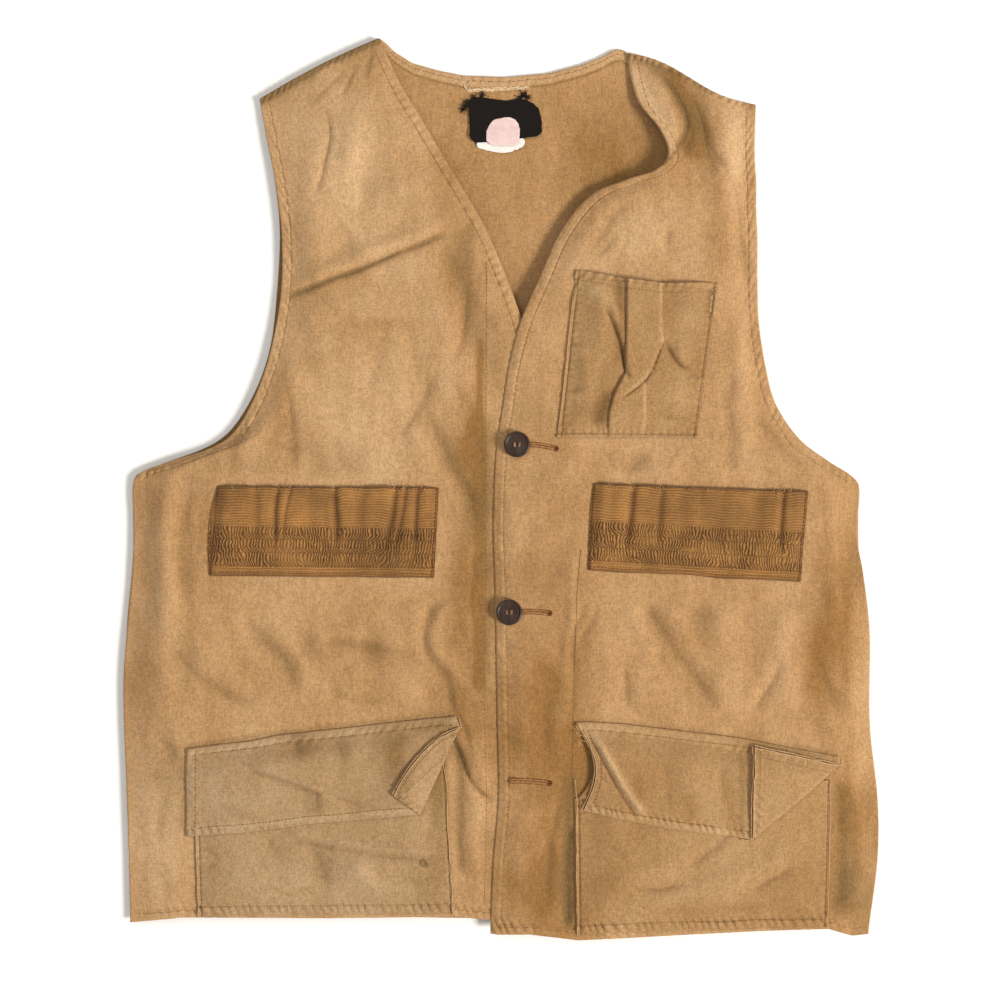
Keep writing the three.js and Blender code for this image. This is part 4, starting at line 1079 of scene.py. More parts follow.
def new_object(name, points, face_sets, values):
    corners = np.concatenate([faces.ravel() for faces in face_sets])
    sizes = np.concatenate([np.full(len(faces), faces.shape[1]) for faces in face_sets])
    mesh = bpy.data.meshes.new(name)
    mesh.vertices.add(len(points))
    mesh.vertices.foreach_set("co", ((points + SHIFT) * MM).astype(np.float32).ravel())
    mesh.loops.add(len(corners))
    mesh.loops.foreach_set("vertex_index", corners.astype(np.int32))
    mesh.polygons.add(len(sizes))
    mesh.polygons.foreach_set("loop_start", (np.cumsum(sizes) - sizes).astype(np.int32))
    mesh.polygons.foreach_set("use_smooth", np.ones(len(sizes), dtype=bool))
    mesh.update(calc_edges=True)
    mesh.validate()
    for key, value in values.items():
        mesh.attributes.new(key, "FLOAT", "POINT").data.foreach_set("value", value.astype(np.float32))
    return link_object(name, mesh)


def unit(vectors):
    return vectors / np.maximum(np.linalg.norm(vectors, axis=-1, keepdims=True), 1e-9)


# The length run along a path at each of its points.
def run_along(path):
    return np.concatenate([[0], np.cumsum(np.linalg.norm(np.diff(path, axis=0), axis=1))])


def grid_normals(grid):
    return unit(np.cross(np.gradient(grid, axis=1), np.gradient(grid, axis=0)))


def cells(number):
    corners = [number[:-1, :-1], number[:-1, 1:], number[1:, 1:], number[1:, :-1]]
    return np.stack(corners, axis=-1).reshape(-1, 4)


def shifted(z, reach, axis, join):
    padded = np.pad(z, reach, mode="edge")
    padded = padded[:, reach:-reach] if axis == 0 else padded[reach:-reach, :]
    size = z.shape[axis]
    return join([np.take(padded, np.arange(k, k + size), axis=axis) for k in range(2 * reach + 1)], axis=0)


# Every few points of a wall's lower side, let down where the wall dips between them.
def underside(lower, under):
    below = lower[::under, ::under].copy()
    if under > 1:
        z = lower[..., 2]
        broad = shifted(shifted(z, 2 * under, 0, np.mean), 2 * under, 1, np.mean)
        dips = shifted(shifted(z - broad, under, 0, np.min), under, 1, np.min)
        below[1:-1, 1:-1, 2] = (broad + dips)[::under, ::under][1:-1, 1:-1]
    return below


# The strip from a wall's rounded edge to the fewer points of its lower side.
def edge_fans(rim_at, below_at, under):
    runs = rim_at.reshape(-1, under)
    runs = np.column_stack([runs, np.roll(runs[:, 0], -1)])
    after = np.roll(below_at, -1)
    turn = (under + 1) // 2
    fans = []
    for j in range(under):
        fans.append(np.column_stack([runs[:, j + 1], runs[:, j], below_at if j < turn else after]))
    fans.append(np.column_stack([runs[:, turn], below_at, after]))
    return np.concatenate(fans)


# A closed wall of cloth round a grid of middle points, with a rounded edge and a plainer lower side.
def cloth_wall(name, grid, thick, values, floor=None, under=1):
    if np.mean(grid_normals(grid)[..., 2]) < 0:
        grid = grid[:, ::-1]
        values = {key: value[:, ::-1] for key, value in values.items()}
        thick = thick[:, ::-1] if np.ndim(thick) else thick
    normal = grid_normals(grid)
    half = np.broadcast_to(np.asarray(thick, dtype=float) / 2, grid.shape[:2])[..., None]
    upper = grid + normal * half
    lower = grid - normal * half
    if floor is not None:
        lower[..., 2] = np.maximum(lower[..., 2], floor)
    below = underside(lower, under)
    if floor is not None:
        below[..., 2] = np.maximum(below[..., 2], floor)
    ny, nx = grid.shape[:2]
    number = np.arange(ny * nx).reshape(ny, nx)
    low_number = ny * nx + np.arange(below.shape[0] * below.shape[1]).reshape(below.shape[:2])
    low_of = np.zeros(ny * nx, dtype=int)
    low_of[number[::under, ::under].ravel()] = low_number.ravel()
    ring = np.concatenate([number[0, :-1], number[:-1, -1], number[-1, :0:-1], number[:0:-1, 0]])
    border = grid.reshape(-1, 3)[ring]
    tangent = np.roll(border, -1, axis=0) - np.roll(border, 1, axis=0)
    outward = unit(np.cross(tangent, normal.reshape(-1, 3)[ring]))
    between = (upper.reshape(-1, 3)[ring] + lower.reshape(-1, 3)[ring]) / 2
    rim = between + outward * half.reshape(-1, 1)[ring] * RIM_ROUND
    rim_at = ny * nx + low_number.size + np.arange(len(ring))
    after = np.roll(np.arange(len(ring)), -1)
    top_side = np.stack([ring[after], ring, rim_at, rim_at[after]], axis=-1)
    fans = edge_fans(rim_at, low_of[ring.reshape(-1, under)[:, 0]], under)
    quads = np.concatenate([cells(number), cells(low_number)[:, ::-1], top_side])
    points = np.concatenate([upper.reshape(-1, 3), below.reshape(-1, 3), rim])
    full = {}
    for key, value in values.items():
        full[key] = np.concatenate([value.ravel(), value[::under, ::under].ravel(), value.ravel()[ring]])
    return new_object(name, points, [quads, fans], full)


# As many marks as the plainer lower side can share.
def fit_count(marks, under):
    steps = math.ceil((len(marks) - 1) / under) * under
    return np.interp(np.linspace(0, len(marks) - 1, steps + 1), np.arange(len(marks)), marks)


def even_places(surface, last, step, edge_step):
    fine = np.linspace(0, last, 1500)
    run = run_along(surface(fine, np.full_like(fine, 0.5))[:, :2])
    near = np.arange(0, EDGE_MARGIN, edge_step)
    count = int((run[-1] - 2 * EDGE_MARGIN) / step)
    inner = np.linspace(EDGE_MARGIN, run[-1] - EDGE_MARGIN, count)
    return np.interp(np.concatenate([near, inner, run[-1] - near[::-1]]), run, fine)


def edge_fractions(width, step, edge_step, margin=12, far_margin=12):
    near = np.arange(0, margin, edge_step) / width
    far = 1 - np.arange(0, far_margin, edge_step)[::-1] / width
    count = max(2, int((width - margin - far_margin) / step))
    inner = np.linspace(margin / width, 1 - far_margin / width, count)
    return np.concatenate([near, inner, far[1:] if np.isclose(far[0], inner[-1]) else far])


def surface_normals(surface, p, q, dp=0.01, dq=0.002):
    a = surface(p + dp, q) - surface(p - dp, q)
    b = surface(p, q + dq) - surface(p, q - dq)
    normal = unit(np.cross(b, a))
    return np.where(np.mean(normal[..., 2]) < 0, -normal, normal)


# Stitching
def thread_tree():
    tree = bpy.data.node_groups.new("Thread along paths", "GeometryNodeTree")
    tree.interface.new_socket("Paths", in_out="INPUT", socket_type="NodeSocketGeometry")
    radius = tree.interface.new_socket("Thread radius", in_out="INPUT", socket_type="NodeSocketFloat")
    sides = tree.interface.new_socket("Sides", in_out="INPUT", socket_type="NodeSocketInt")
    finish = tree.interface.new_socket("Finish", in_out="INPUT", socket_type="NodeSocketMaterial")
    tree.interface.new_socket("Threads", in_out="OUTPUT", socket_type="NodeSocketGeometry")
    radius.default_value = THREAD * MM
    sides.default_value = THREAD_SIDES
    node = tree.nodes.new
    paths = node("NodeGroupInput")
    curve = node("GeometryNodeMeshToCurve")
    ring = node("GeometryNodeCurvePrimitiveCircle")
    tube = node("GeometryNodeCurveToMesh")
    smooth = node("GeometryNodeSetShadeSmooth")
    realize = node("GeometryNodeRealizeInstances")
    paint = node("GeometryNodeSetMaterial")
    out = node("NodeGroupOutput")
    link = tree.links.new
    link(paths.outputs["Paths"], curve.inputs["Mesh"])
    link(paths.outputs["Thread radius"], ring.inputs["Radius"])
    link(paths.outputs["Sides"], ring.inputs["Resolution"])
    link(curve.outputs["Curve"], tube.inputs["Curve"])
    link(ring.outputs["Curve"], tube.inputs["Profile Curve"])
    tube.inputs["Fill Caps"].default_value = True
    link(tube.outputs["Mesh"], smooth.inputs["Geometry"])
    link(smooth.outputs["Geometry"], realize.inputs["Geometry"])
    link(realize.outputs["Geometry"], paint.inputs["Geometry"])
    link(paths.outputs["Finish"], paint.inputs["Material"])
    link(paint.outputs["Geometry"], out.inputs["Threads"])
    return tree, {"radius": radius.identifier, "sides": sides.identifier, "finish": finish.identifier}


THREAD_TREE, THREAD_SOCKETS = thread_tree()


def thread_object(name, strands, finish, radius, sides):
    points = np.concatenate(strands)
    edges = []
    start = 0
    for strand in strands:
        edges += [(start + k, start + k + 1) for k in range(len(strand) - 1)]
        start += len(strand)
    mesh = bpy.data.meshes.new(name + "_paths")
    mesh.from_pydata(((points + SHIFT) * MM).tolist(), edges, [])
    source = link_object(name + "_paths", mesh)
    modifier = source.modifiers.new("Threads", "NODES")
    modifier.node_group = THREAD_TREE
    modifier[THREAD_SOCKETS["radius"]] = radius * MM
    modifier[THREAD_SOCKETS["sides"]] = sides
    modifier[THREAD_SOCKETS["finish"]] = finish
    ready = source.evaluated_get(bpy.context.evaluated_depsgraph_get())
    made = bpy.data.meshes.new_from_object(ready)
    made.name = name
    bpy.data.objects.remove(source)
    return link_object(name, made)


def stitches(path, normal, lift, seed=71):
    run = run_along(path)
    read = lambda values, s: np.stack([np.interp(s, run, values[:, k]) for k in range(3)], axis=-1)
    starts = np.arange(0.5, run[-1] - STITCH_LENGTH, STITCH_PITCH)
    starts = starts + np.random.default_rng(seed).uniform(-0.15, 0.15, len(starts))
    arch = np.array([lift - STITCH_ARCH, lift, lift - STITCH_ARCH])[:, None]
    strands = []
    for s in starts:
        marks = np.array([s, s + STITCH_LENGTH * 0.5, s + STITCH_LENGTH])
        strands.append(read(path, marks) + read(normal, marks) * arch)
    return strands


def surface_stitches(surface, p, q, lift, seed=71):
    return stitches(surface(p, q), surface_normals(surface, p, q), lift, seed)


# Finishes
def srgb(red, green, blue):
    linear = lambda v: v / 12.92 if v <= 0.04045 else ((v + 0.055) / 1.055) ** 2.4
    return tuple(linear(v / 255) for v in (red, green, blue)) + (1.0,)


class Net:
    """Short helpers for the nodes of one tree."""

    def __init__(self, tree):
        self.tree = tree

    def node(self, kind, **settings):
        made = self.tree.nodes.new(kind)
        for key, value in settings.items():
            setattr(made, key, value)
        return made

    def feed(self, socket, value):
        if isinstance(value, bpy.types.NodeSocket):
            self.tree.links.new(value, socket)
        else:
            socket.default_value = value

    def math(self, operation, *values):
        made = self.node("ShaderNodeMath", operation=operation)
        for socket, value in zip(made.inputs, values):
            self.feed(socket, value)
        return made.outputs[0]

    def times(self, first, second):
        return self.math("MULTIPLY", first, second)

    def less(self, first, second):
        return self.math("SUBTRACT", first, second)

    def plus(self, first, second, times):
        return self.math("ADD", first, self.times(second, times))

    def mix(self, share, first, second):
        made = self.node("ShaderNodeMix", data_type="RGBA")
        self.feed(made.inputs[0], share)
        self.feed(made.inputs[6], first)
        self.feed(made.inputs[7], second)
        return made.outputs[2]

    def spread(self, value, low, high, to_low=0.0, to_high=1.0):
        made = self.node("ShaderNodeMapRange", clamp=True)
        for socket, v in zip(made.inputs, (value, low, high, to_low, to_high)):
            self.feed(socket, v)
        return made.outputs[0]

    def noise(self, vector, scale, detail=3.0, rough=0.55):
        made = self.node("ShaderNodeTexNoise")
        self.feed(made.inputs["Vector"], vector)
        made.inputs["Scale"].default_value = scale
        made.inputs["Detail"].default_value = detail
        made.inputs["Roughness"].default_value = rough
        return made.outputs["Fac"]

    def stretched(self, vector, scale):
        made = self.node("ShaderNodeMapping")
        self.feed(made.inputs["Vector"], vector)
        made.inputs["Scale"].default_value = scale
        return made.outputs["Vector"]

    def scaled(self, colour, times):
        made = self.node("ShaderNodeVectorMath", operation="SCALE")
        self.feed(made.inputs[0], colour)
        self.feed(made.inputs["Scale"], times)
        return made.outputs[0]

    def place(self):
        return self.node("ShaderNodeTexCoord").outputs["Object"]

    def attribute(self, name):
        return self.node("ShaderNodeAttribute", attribute_name=name).outputs["Fac"]


def new_group(name, inputs, outputs):
    tree = bpy.data.node_groups.new(name, "ShaderNodeTree")
    for label, kind, default in inputs:
        socket = tree.interface.new_socket(label, in_out="INPUT", socket_type=kind)
        if default is not None:
            socket.default_value = default
    for label, kind in outputs:
        tree.interface.new_socket(label, in_out="OUTPUT", socket_type=kind)
    net = Net(tree)
    return tree, net, net.node("NodeGroupInput").outputs, net.node("NodeGroupOutput").inputs


COLOUR = "NodeSocketColor"
VALUE = "NodeSocketFloat"

# Sizes of the patterns, as repeats to a metre
WARP = (760, 250, 300)
WEFT = (250, 760, 300)
GRAIN = 900
BROAD = 14
BLOTCH = 55
STREAK = (95, 28, 40)
SPECK = 260
WRINKLE = (80, 44, 50)
SWIRL = (260, 90, 90)


# Plain-woven duck: slubs of warp and weft, faded patches with painted light and shade among them, painted
# shade in the hollows, and folds painted paler, partly wear and partly painted highlight.
def canvas_group():
    tree, net, given, made = new_group(
        "Worn canvas",
        (("Cloth", COLOUR, None), ("Pale", COLOUR, None), ("Soil", COLOUR, None), ("Shade", COLOUR, None),
         ("Relief depth", VALUE, 2.5), ("Mottle", VALUE, 0.5)),
        (("Colour", COLOUR), ("Height", VALUE), ("Roughness", VALUE)),
    )
    place = net.place()
    warp = net.noise(net.stretched(place, WARP), 1.0, 2.0)
    weft = net.noise(net.stretched(place, WEFT), 1.0, 2.0)
    grain = net.noise(place, GRAIN, 1.0)
    weave = net.plus(net.plus(net.times(warp, 0.36), weft, 0.26), grain, 0.38)
    broad = net.noise(place, BROAD, 4.0, 0.6)
    blotch = net.noise(place, BLOTCH, 4.0, 0.65)
    streaks = net.noise(net.stretched(place, STREAK), 1.0, 5.0, 0.62)
    relief = net.math("DIVIDE", net.attribute("relief"), given["Relief depth"])
    tone = net.plus(net.attribute("fade"), net.less(broad, 0.5), given["Mottle"])
    # Raised relief is painted paler and low relief darker, as painted light and shade.
    tone = net.plus(tone, relief, 0.16)
    tone = net.plus(tone, net.less(blotch, 0.5), 0.4)
    tone = net.math("ADD", tone, net.less(streaks, 0.5))
    colour = net.mix(net.spread(tone, 0.0, 0.9), given["Cloth"], given["Pale"])
    colour = net.mix(net.spread(tone, 0.0, -0.9), colour, given["Soil"])
    # Hollows are mixed toward the shade colour as painted shade.
    hollow_shade = net.times(net.spread(relief, -0.25, -2.2), 0.76)
    colour = net.mix(hollow_shade, colour, given["Shade"])
    colour = net.scaled(colour, net.spread(weave, 0.41, 0.59, 0.8, 1.17))
    specks = net.times(net.spread(net.noise(place, SPECK, 1.0), 0.79, 0.83), 0.25)
    net.feed(made["Colour"], net.mix(specks, colour, given["Shade"]))
    wrinkles = net.noise(net.stretched(place, WRINKLE), 1.0, 4.0, 0.6)
    net.feed(made["Height"], net.plus(weave, wrinkles, 4.0))
    net.feed(made["Roughness"], net.spread(weave, 0.3, 0.7, 0.96, 0.86))
    return tree


# Ribbed and smocked elastic: fine ribs at the top, slanted gathers in rows below, ribs along the foot.
# Grooves, smocking rows and tucks are painted in the groove colour as shade.
def elastic_group():
    tree, net, given, made = new_group(
        "Smocked elastic",
        (("Thread", COLOUR, None), ("Groove", COLOUR, None),
         ("Rib pitch", VALUE, 2.1), ("Gather pitch", VALUE, 2.3)),
        (("Colour", COLOUR), ("Height", VALUE)),
    )
    place = net.place()
    up = net.attribute("up_mm")
    across = net.attribute("across_mm")
    turn = 2 * math.pi
    wobble = net.less(net.noise(place, 55, 3.0), 0.5)
    rib_phase = net.math("DIVIDE", net.plus(up, wobble, 3.4), given["Rib pitch"])
    ribs = net.math("SINE", net.times(rib_phase, turn))
    row = net.math("DIVIDE", net.less(up, SMOCK_START), SMOCK_ROW)
    level = net.less(net.math("FRACT", row), 0.5)
    curl = net.math("ABSOLUTE", net.math("ADD", level, 0.12))
    sway = net.spread(net.noise(place, 26, 2.0), 0.36, 0.64, 1.3, -1.3)
    bend = net.less(net.times(curl, 4.4), net.times(level, 4.4))
    slanted = net.math("ADD", across, net.times(bend, sway))
    order = net.times(net.math("FLOOR", row), 1.4)
    lean = net.math("ADD", net.times(net.noise(place, 90, 3.0), 8.0), order)
    gather_phase = net.math("DIVIDE", net.math("ADD", slanted, lean), given["Gather pitch"])
    gathers = net.math("SINE", net.times(gather_phase, turn))
    above = net.spread(up, SMOCK_LOW + 0.5, SMOCK_LOW + 1.5)
    smocked = net.times(above, net.spread(up, SMOCK_HIGH + 0.5, SMOCK_HIGH - 0.5))
    ribbed = net.less(1.0, smocked)
    pattern = net.plus(net.times(gathers, smocked), ribs, ribbed)
    patchy = net.spread(net.noise(place, 80, 2.0), 0.35, 0.62, 0.45, 1.0)
    depth = net.times(net.plus(0.5, smocked, 0.4), patchy)
    seam = net.times(smocked, net.spread(net.math("ABSOLUTE", level), 0.44, 0.49))
    # Grooves of ribs and gathers and the smocking rows take the groove colour as painted shade.
    groove = net.times(net.spread(pattern, 0.85, -0.35), depth)
    groove = net.math("MAXIMUM", groove, net.times(seam, 0.5))
    colour = net.mix(groove, given["Thread"], given["Groove"])
    fuzz = net.spread(net.noise(place, 700, 2.0), 0.3, 0.7, 0.84, 1.14)
    worn = net.spread(net.noise(place, 32, 3.0), 0.36, 0.64, 0.78, 1.12)
    worn = net.less(worn, net.times(smocked, 0.07))
    colour = net.scaled(colour, net.times(worn, fuzz))
    # Tucks and low places from the relief attribute darken toward the groove colour as painted shade.
    tuck_shade = net.times(net.spread(net.attribute("relief"), -0.4, -2.8), 0.68)
    net.feed(made["Colour"], net.mix(tuck_shade, colour, given["Groove"]))
    net.feed(made["Height"], pattern)
    return tree


CANVAS_GROUP = canvas_group()
ELASTIC_GROUP = elastic_group()


def new_material(name, roughness, sheen=0.0):
    material = bpy.data.materials.new(name)
    material.use_nodes = True
    shader = material.node_tree.nodes["Principled BSDF"]
    shader.inputs["Roughness"].default_value = roughness
    shader.inputs["Specular IOR Level"].default_value = 0.2
    shader.inputs["Sheen Weight"].default_value = sheen
    shader.inputs["Sheen Roughness"].default_value = 0.5
    return material, shader, Net(material.node_tree)


def bump(net, shader, height, strength, distance):
    made = net.node("ShaderNodeBump")
    made.inputs["Strength"].default_value = strength
    made.inputs["Distance"].default_value = distance * MM
    net.feed(made.inputs["Height"], height)
    net.feed(shader.inputs["Normal"], made.outputs["Normal"])


def canvas_material(name, cloth, pale, soil_and_shade, shade, depth=2.5, mottle=0.35):
    material, shader, net = new_material(name, 0.9, 0.12)
    group = net.node("ShaderNodeGroup", node_tree=CANVAS_GROUP)
    for label, value in (("Cloth", cloth), ("Pale", pale), ("Soil", soil_and_shade), ("Shade", shade)):
        group.inputs[label].default_value = srgb(*value)
    group.inputs["Relief depth"].default_value = depth
    group.inputs["Mottle"].default_value = mottle
    net.feed(shader.inputs["Base Color"], group.outputs["Colour"])
    net.feed(shader.inputs["Roughness"], group.outputs["Roughness"])
    bump(net, shader, group.outputs["Height"], 0.5, 0.35)
    return material


def elastic_material():
    material, shader, net = new_material("Brown elastic", 0.85, 0.15)
    group = net.node("ShaderNodeGroup", node_tree=ELASTIC_GROUP)
    group.inputs["Thread"].default_value = srgb(168, 119, 64)
    group.inputs["Groove"].default_value = srgb(80, 49, 19)
    net.feed(shader.inputs["Base Color"], group.outputs["Colour"])
    bump(net, shader, group.outputs["Height"], 0.7, 0.45)
    return material


def speckled_material(name, first, second, scale, roughness, sheen=0.0):
    material, shader, net = new_material(name, roughness, sheen)
    spots = net.noise(net.place(), scale, 3.0)
    colour = net.mix(net.spread(spots, 0.35, 0.65), srgb(*first), srgb(*second))
    net.feed(shader.inputs["Base Color"], colour)
    bump(net, shader, spots, 0.3, 0.1)
    return material


def button_material():
    material, shader, net = new_material("Brown button", 0.36)
    shader.inputs["Specular IOR Level"].default_value = 0.4
    place = net.place()
    swirl = net.noise(net.stretched(place, SWIRL), 1.0, 4.0, 0.6)
    scuff = net.noise(place, 900, 3.0)
    colour = net.mix(net.spread(swirl, 0.35, 0.7), srgb(40, 25, 17), srgb(64, 42, 30))
    net.feed(shader.inputs["Base Color"], colour)
    net.feed(shader.inputs["Roughness"], net.spread(scuff, 0.3, 0.75, 0.26, 0.5))
    bump(net, shader, scuff, 0.15, 0.05)
    return material


def floor_material():
    material, shader, net = new_material("Pale floor", 0.85)
    colour = net.mix(net.noise(net.place(), 3.0), srgb(246, 245, 243), srgb(250, 249, 247))
    net.feed(shader.inputs["Base Color"], colour)
    return material


CLOTH = canvas_material("Faded canvas", (177, 137, 93), (198, 161, 119), (142, 101, 54), (112, 89, 54))
INSIDE = canvas_material("Canvas inside", (172, 131, 86), (186, 148, 106), (142, 102, 54), (108, 84, 48))
POCKET = canvas_material(
    "Pocket canvas", (163, 125, 82), (180, 145, 103), (140, 101, 56), (104, 76, 42), depth=2.2, mottle=0.6,
)
POCKET_GREY = canvas_material(
    "Greyed pocket canvas", (163, 130, 92), (179, 150, 114), (138, 106, 66), (100, 80, 50),
    depth=2.2, mottle=0.6,
)
HEM_EDGE = canvas_material("Worn hem edge", (184, 147, 105), (198, 163, 122), (154, 116, 74), (122, 92, 56))
ELASTIC = elastic_material()
BUTTON = button_material()
TOPSTITCH = speckled_material("Tan topstitch", (118, 82, 46), (150, 110, 68), 900, 0.9)
BROWN_THREAD = speckled_material("Brown thread", (86, 52, 28), (120, 76, 42), 900, 0.85)
TAN_SATIN = speckled_material("Tan buttonhole satin", (150, 100, 58), (188, 138, 90), 700, 0.8)
# Button thread: mid-brown, with pale speckles as painted glints.
BUTTON_THREAD = speckled_material("Button thread", (104, 70, 46), (176, 134, 100), 500, 0.8)
# Dark thread standing in for the shade in buttonhole slits and eyelets.
DARK_SLIT = speckled_material("Dark slit", (44, 24, 12), (70, 40, 22), 900, 0.9)
SEAM_LINE = speckled_material("Seam shadow", (126, 92, 54), (150, 114, 72), 500, 0.95)
TACK_THREAD = speckled_material("Tan tack thread", (150, 108, 62), (196, 154, 104), 700, 0.85)
PALE_THREAD = speckled_material("Pale frayed thread", (188, 150, 108), (214, 178, 136), 700, 0.9)
TORN_THREAD = speckled_material("Torn hem thread", (220, 188, 148), (238, 212, 178), 700, 0.9)
LABEL = speckled_material("Black woven label", (13, 9, 7), (27, 20, 16), 1400, 0.9, 0.04)
TAG = speckled_material("White tag", (226, 220, 210), (240, 236, 230), 500, 0.85)
STICKER = speckled_material("Pink sticker", (220, 188, 184), (229, 202, 197), 300, 0.7)


# Pieces
def set_finish(obj, material):
    obj.data.materials.clear()
    obj.data.materials.append(material)


def place_piece(obj, node):
    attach(obj, "root")
    if node:
        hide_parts(node)


def add_threads(name, strands, finish, radius=THREAD, sides=THREAD_SIDES, node=None):
    obj = thread_object(name, strands, finish, radius, sides)
    place_piece(obj, node)
    return obj


# A line of the photograph laid on the cloth, from its upper to its lower end.
def seam_path(line, height, lift, count):
    xy = np.array(line, dtype=float)
    ys = np.linspace(xy[0, 1], xy[-1, 1], count)
    xs = np.interp(-ys, -xy[:, 1], xy[:, 0])
    return np.stack([xs, ys, height(xs, ys) + lift], axis=-1)


def front_seams(surface, rows, height, armpit, facing):
    places = np.linspace(0.02, len(rows) - 1.1, 700)
    width = row_width(row_at(rows, places))
    seams = surface_stitches(surface, places, 1 - FRONT_SEAM / width, ON_CANVAS)
    arm = places > armpit + 0.3
    inset = ARM_SEAM / (width * side_lean(rows, places))
    seams += surface_stitches(surface, places[arm], inset[arm], ON_CANVAS)
    hem = np.full(400, HEM_SEAM_ROW)
    seams += surface_stitches(surface, hem, np.linspace(0.02, 0.99, 400), ON_CANVAS)
    path = seam_path(facing, height, 0, 200)
    return seams + stitches(path, np.tile([0.0, 0.0, 1.0], (len(path), 1)), ON_CANVAS)


def make_front(name, rows, height, wave, armpit, lap):
    bow = SHOULDER_LEFT_BOW if lap else SHOULDER_RIGHT_BOW
    surface = front_surface(rows, height, wave, armpit, LAP_REST if lap else 0, bow)
    places = fit_count(even_places(surface, len(rows) - 1, FRONT_STEP, EDGE_STEP), UNDER)
    fractions = fit_count(edge_fractions(FRONT_WIDTH, FRONT_STEP, EDGE_STEP, *FRONT_MARGINS), UNDER)
    p, q = np.meshgrid(places, fractions, indexing="ij")
    grid, trim = surface(p, q, with_trim=True)
    x, y = grid[..., 0], grid[..., 1]
    # Hollows, hem grooves and the listed paths are painted darker as shade and ridges paler; the burnt spots
    # are real.
    relief = front_relief(x, y) + 1.3 * (trim - 0.2) + crease_height(PAINTED_SHADE, x, y) + spots_at(x, y)
    fade = fade_at(x, y, FRONT_PATCHES, FRONT_STREAKS)
    thick = CANVAS * (0.36 + 0.64 * ease((1 - q) * FRONT_WIDTH / 7))
    grid[..., 2] -= (CANVAS - thick) / 2
    obj = cloth_wall(name, grid, thick, {"relief": relief, "fade": fade}, under=UNDER)
    set_finish(obj, CLOTH)
    return obj, front_seams(surface, rows, height, armpit, FACING_LEFT if lap else FACING_RIGHT)


def make_back():
    last = len(BACK_ROWS) - 1
    places = fit_count(even_places(back_surface, last, BACK_STEP, EDGE_STEP), UNDER)
    fractions = fit_count(edge_fractions(BACK_WIDTH, BACK_STEP, BACK_SIDE_STEP), UNDER)
    p, q = np.meshgrid(places, fractions, indexing="ij")
    grid, from_top = back_surface(p, q, with_hem=True)
    x, y = grid[..., 0], grid[..., 1]
    fade = fade_at(x, y, BACK_PATCHES, BACK_STREAKS) + 0.8 * ease((NECK_HEM - from_top) / 1.5)
    # Lower places are painted darker as shade, with a painted shadow line under the turned neck hem.
    relief = grid[..., 2] - (BACK_FLAT + BACK_WRINKLE_ROOM)
    relief = relief - 4.0 * bell((from_top - NECK_HEM - 0.5) / 1.3)
    relief = relief + crease_height(BACK_PAINTED_SHADE, x, y)
    obj = cloth_wall("back_panel_cloth", grid, CANVAS, {"relief": relief, "fade": fade}, FLOOR_CLEAR, UNDER)
    set_finish(obj, INSIDE)
    top_line = np.full(SEAM_POINTS, last - 0.2)
    return obj, surface_stitches(back_surface, top_line, np.linspace(0.26, 0.73, SEAM_POINTS), ON_CANVAS)


# A sewn-on pocket, thinner toward its sewn edges.
def make_patch(name, surface, lines, size, step, base, marks, finish):
    ups = fit_count(edge_fractions(size[1], step, PATCH_EDGE_STEP, 10, 10), UNDER)
    shares = fit_count(edge_fractions(size[0], step, PATCH_EDGE_STEP, 8, 8), UNDER)
    up, across = np.meshgrid(ups, shares, indexing="ij")
    grid = surface(up, across)
    x, y = grid[..., 0], grid[..., 1]
    thick = CANVAS * (0.6 + 0.4 * ease(from_sewn(lines, x, y) / 4))
    # Raised places are painted paler and low places and the listed paths darker, as painted light and shade;
    # the burnt spots are real.
    relief = grid[..., 2] - base(x, y)
    relief = relief - np.mean(relief) + crease_height(marks["soiled"], x, y) + spots_at(x, y)
    grid[..., 2] -= (CANVAS - thick) / 2
    fade = fade_at(x, y, marks["patches"], marks["streaks"])
    obj = cloth_wall(name, grid, thick, {"relief": relief, "fade": fade}, under=UNDER)
    set_finish(obj, finish)
    return obj


def line_share(lines, off):
    a, b, _, d = corners_of(lines)
    return off / math.dist(a, b), off / math.dist(a, d)


def side_stitches(surface, lines, off, lift, from_up=0.0, to_up=1.0):
    share, _ = line_share(lines, off)
    up = np.linspace(from_up, to_up, 200)
    left = surface_stitches(surface, up, np.full(200, share), lift, 72)
    return left + surface_stitches(surface, up, np.full(200, 1 - share), lift, 73)


def level_stitches(surface, lines, off, lift, top, start=0.0, end=1.0):
    _, share = line_share(lines, off)
    across = np.linspace(start, end, SEAM_POINTS)
    level = np.full(SEAM_POINTS, 1 - share if top else share)
    return surface_stitches(surface, level, across, lift, 74)


def make_chest_pocket():
    base = lambda x, y: lap_height(x, y) + ON_FRONT + pocket_swell(CHEST, CHEST_RISE, CHEST_TURN, x, y)
    marks = {"soiled": CHEST_PAINTED_SHADE, "patches": (), "streaks": CHEST_PAINTED_LIGHT}
    obj = make_patch("chest_pocket_cloth", chest_surface, CHEST, CHEST_SIZE, CHEST_STEP, base, marks, POCKET)
    seams = side_stitches(chest_surface, CHEST, CHEST_SEAM, ON_CANVAS)
    seams += level_stitches(chest_surface, CHEST, CHEST_SEAM, ON_CANVAS, top=False)
    seams += level_stitches(chest_surface, CHEST, MOUTH_SEAM, ON_CANVAS, top=True)
    return obj, seams


def make_hip_pocket(name, lines, height, dip, finish):
    surface = hip_surface(lines, height, dip)
    base = lambda x, y: height(x, y) + ON_FRONT + pocket_swell(lines, POCKET_RISE, POCKET_TURN, x, y)
    marks = {"soiled": (), "patches": HIP_PATCHES, "streaks": HIP_STREAKS}
    obj = make_patch(name, surface, lines, HIP_SIZE, HIP_STEP, base, marks, finish)
    seams = side_stitches(surface, lines, HIP_SEAM, ON_CANVAS)
    seams += level_stitches(surface, lines, HIP_FOOT_SEAM, ON_CANVAS, top=False)
    return obj, seams


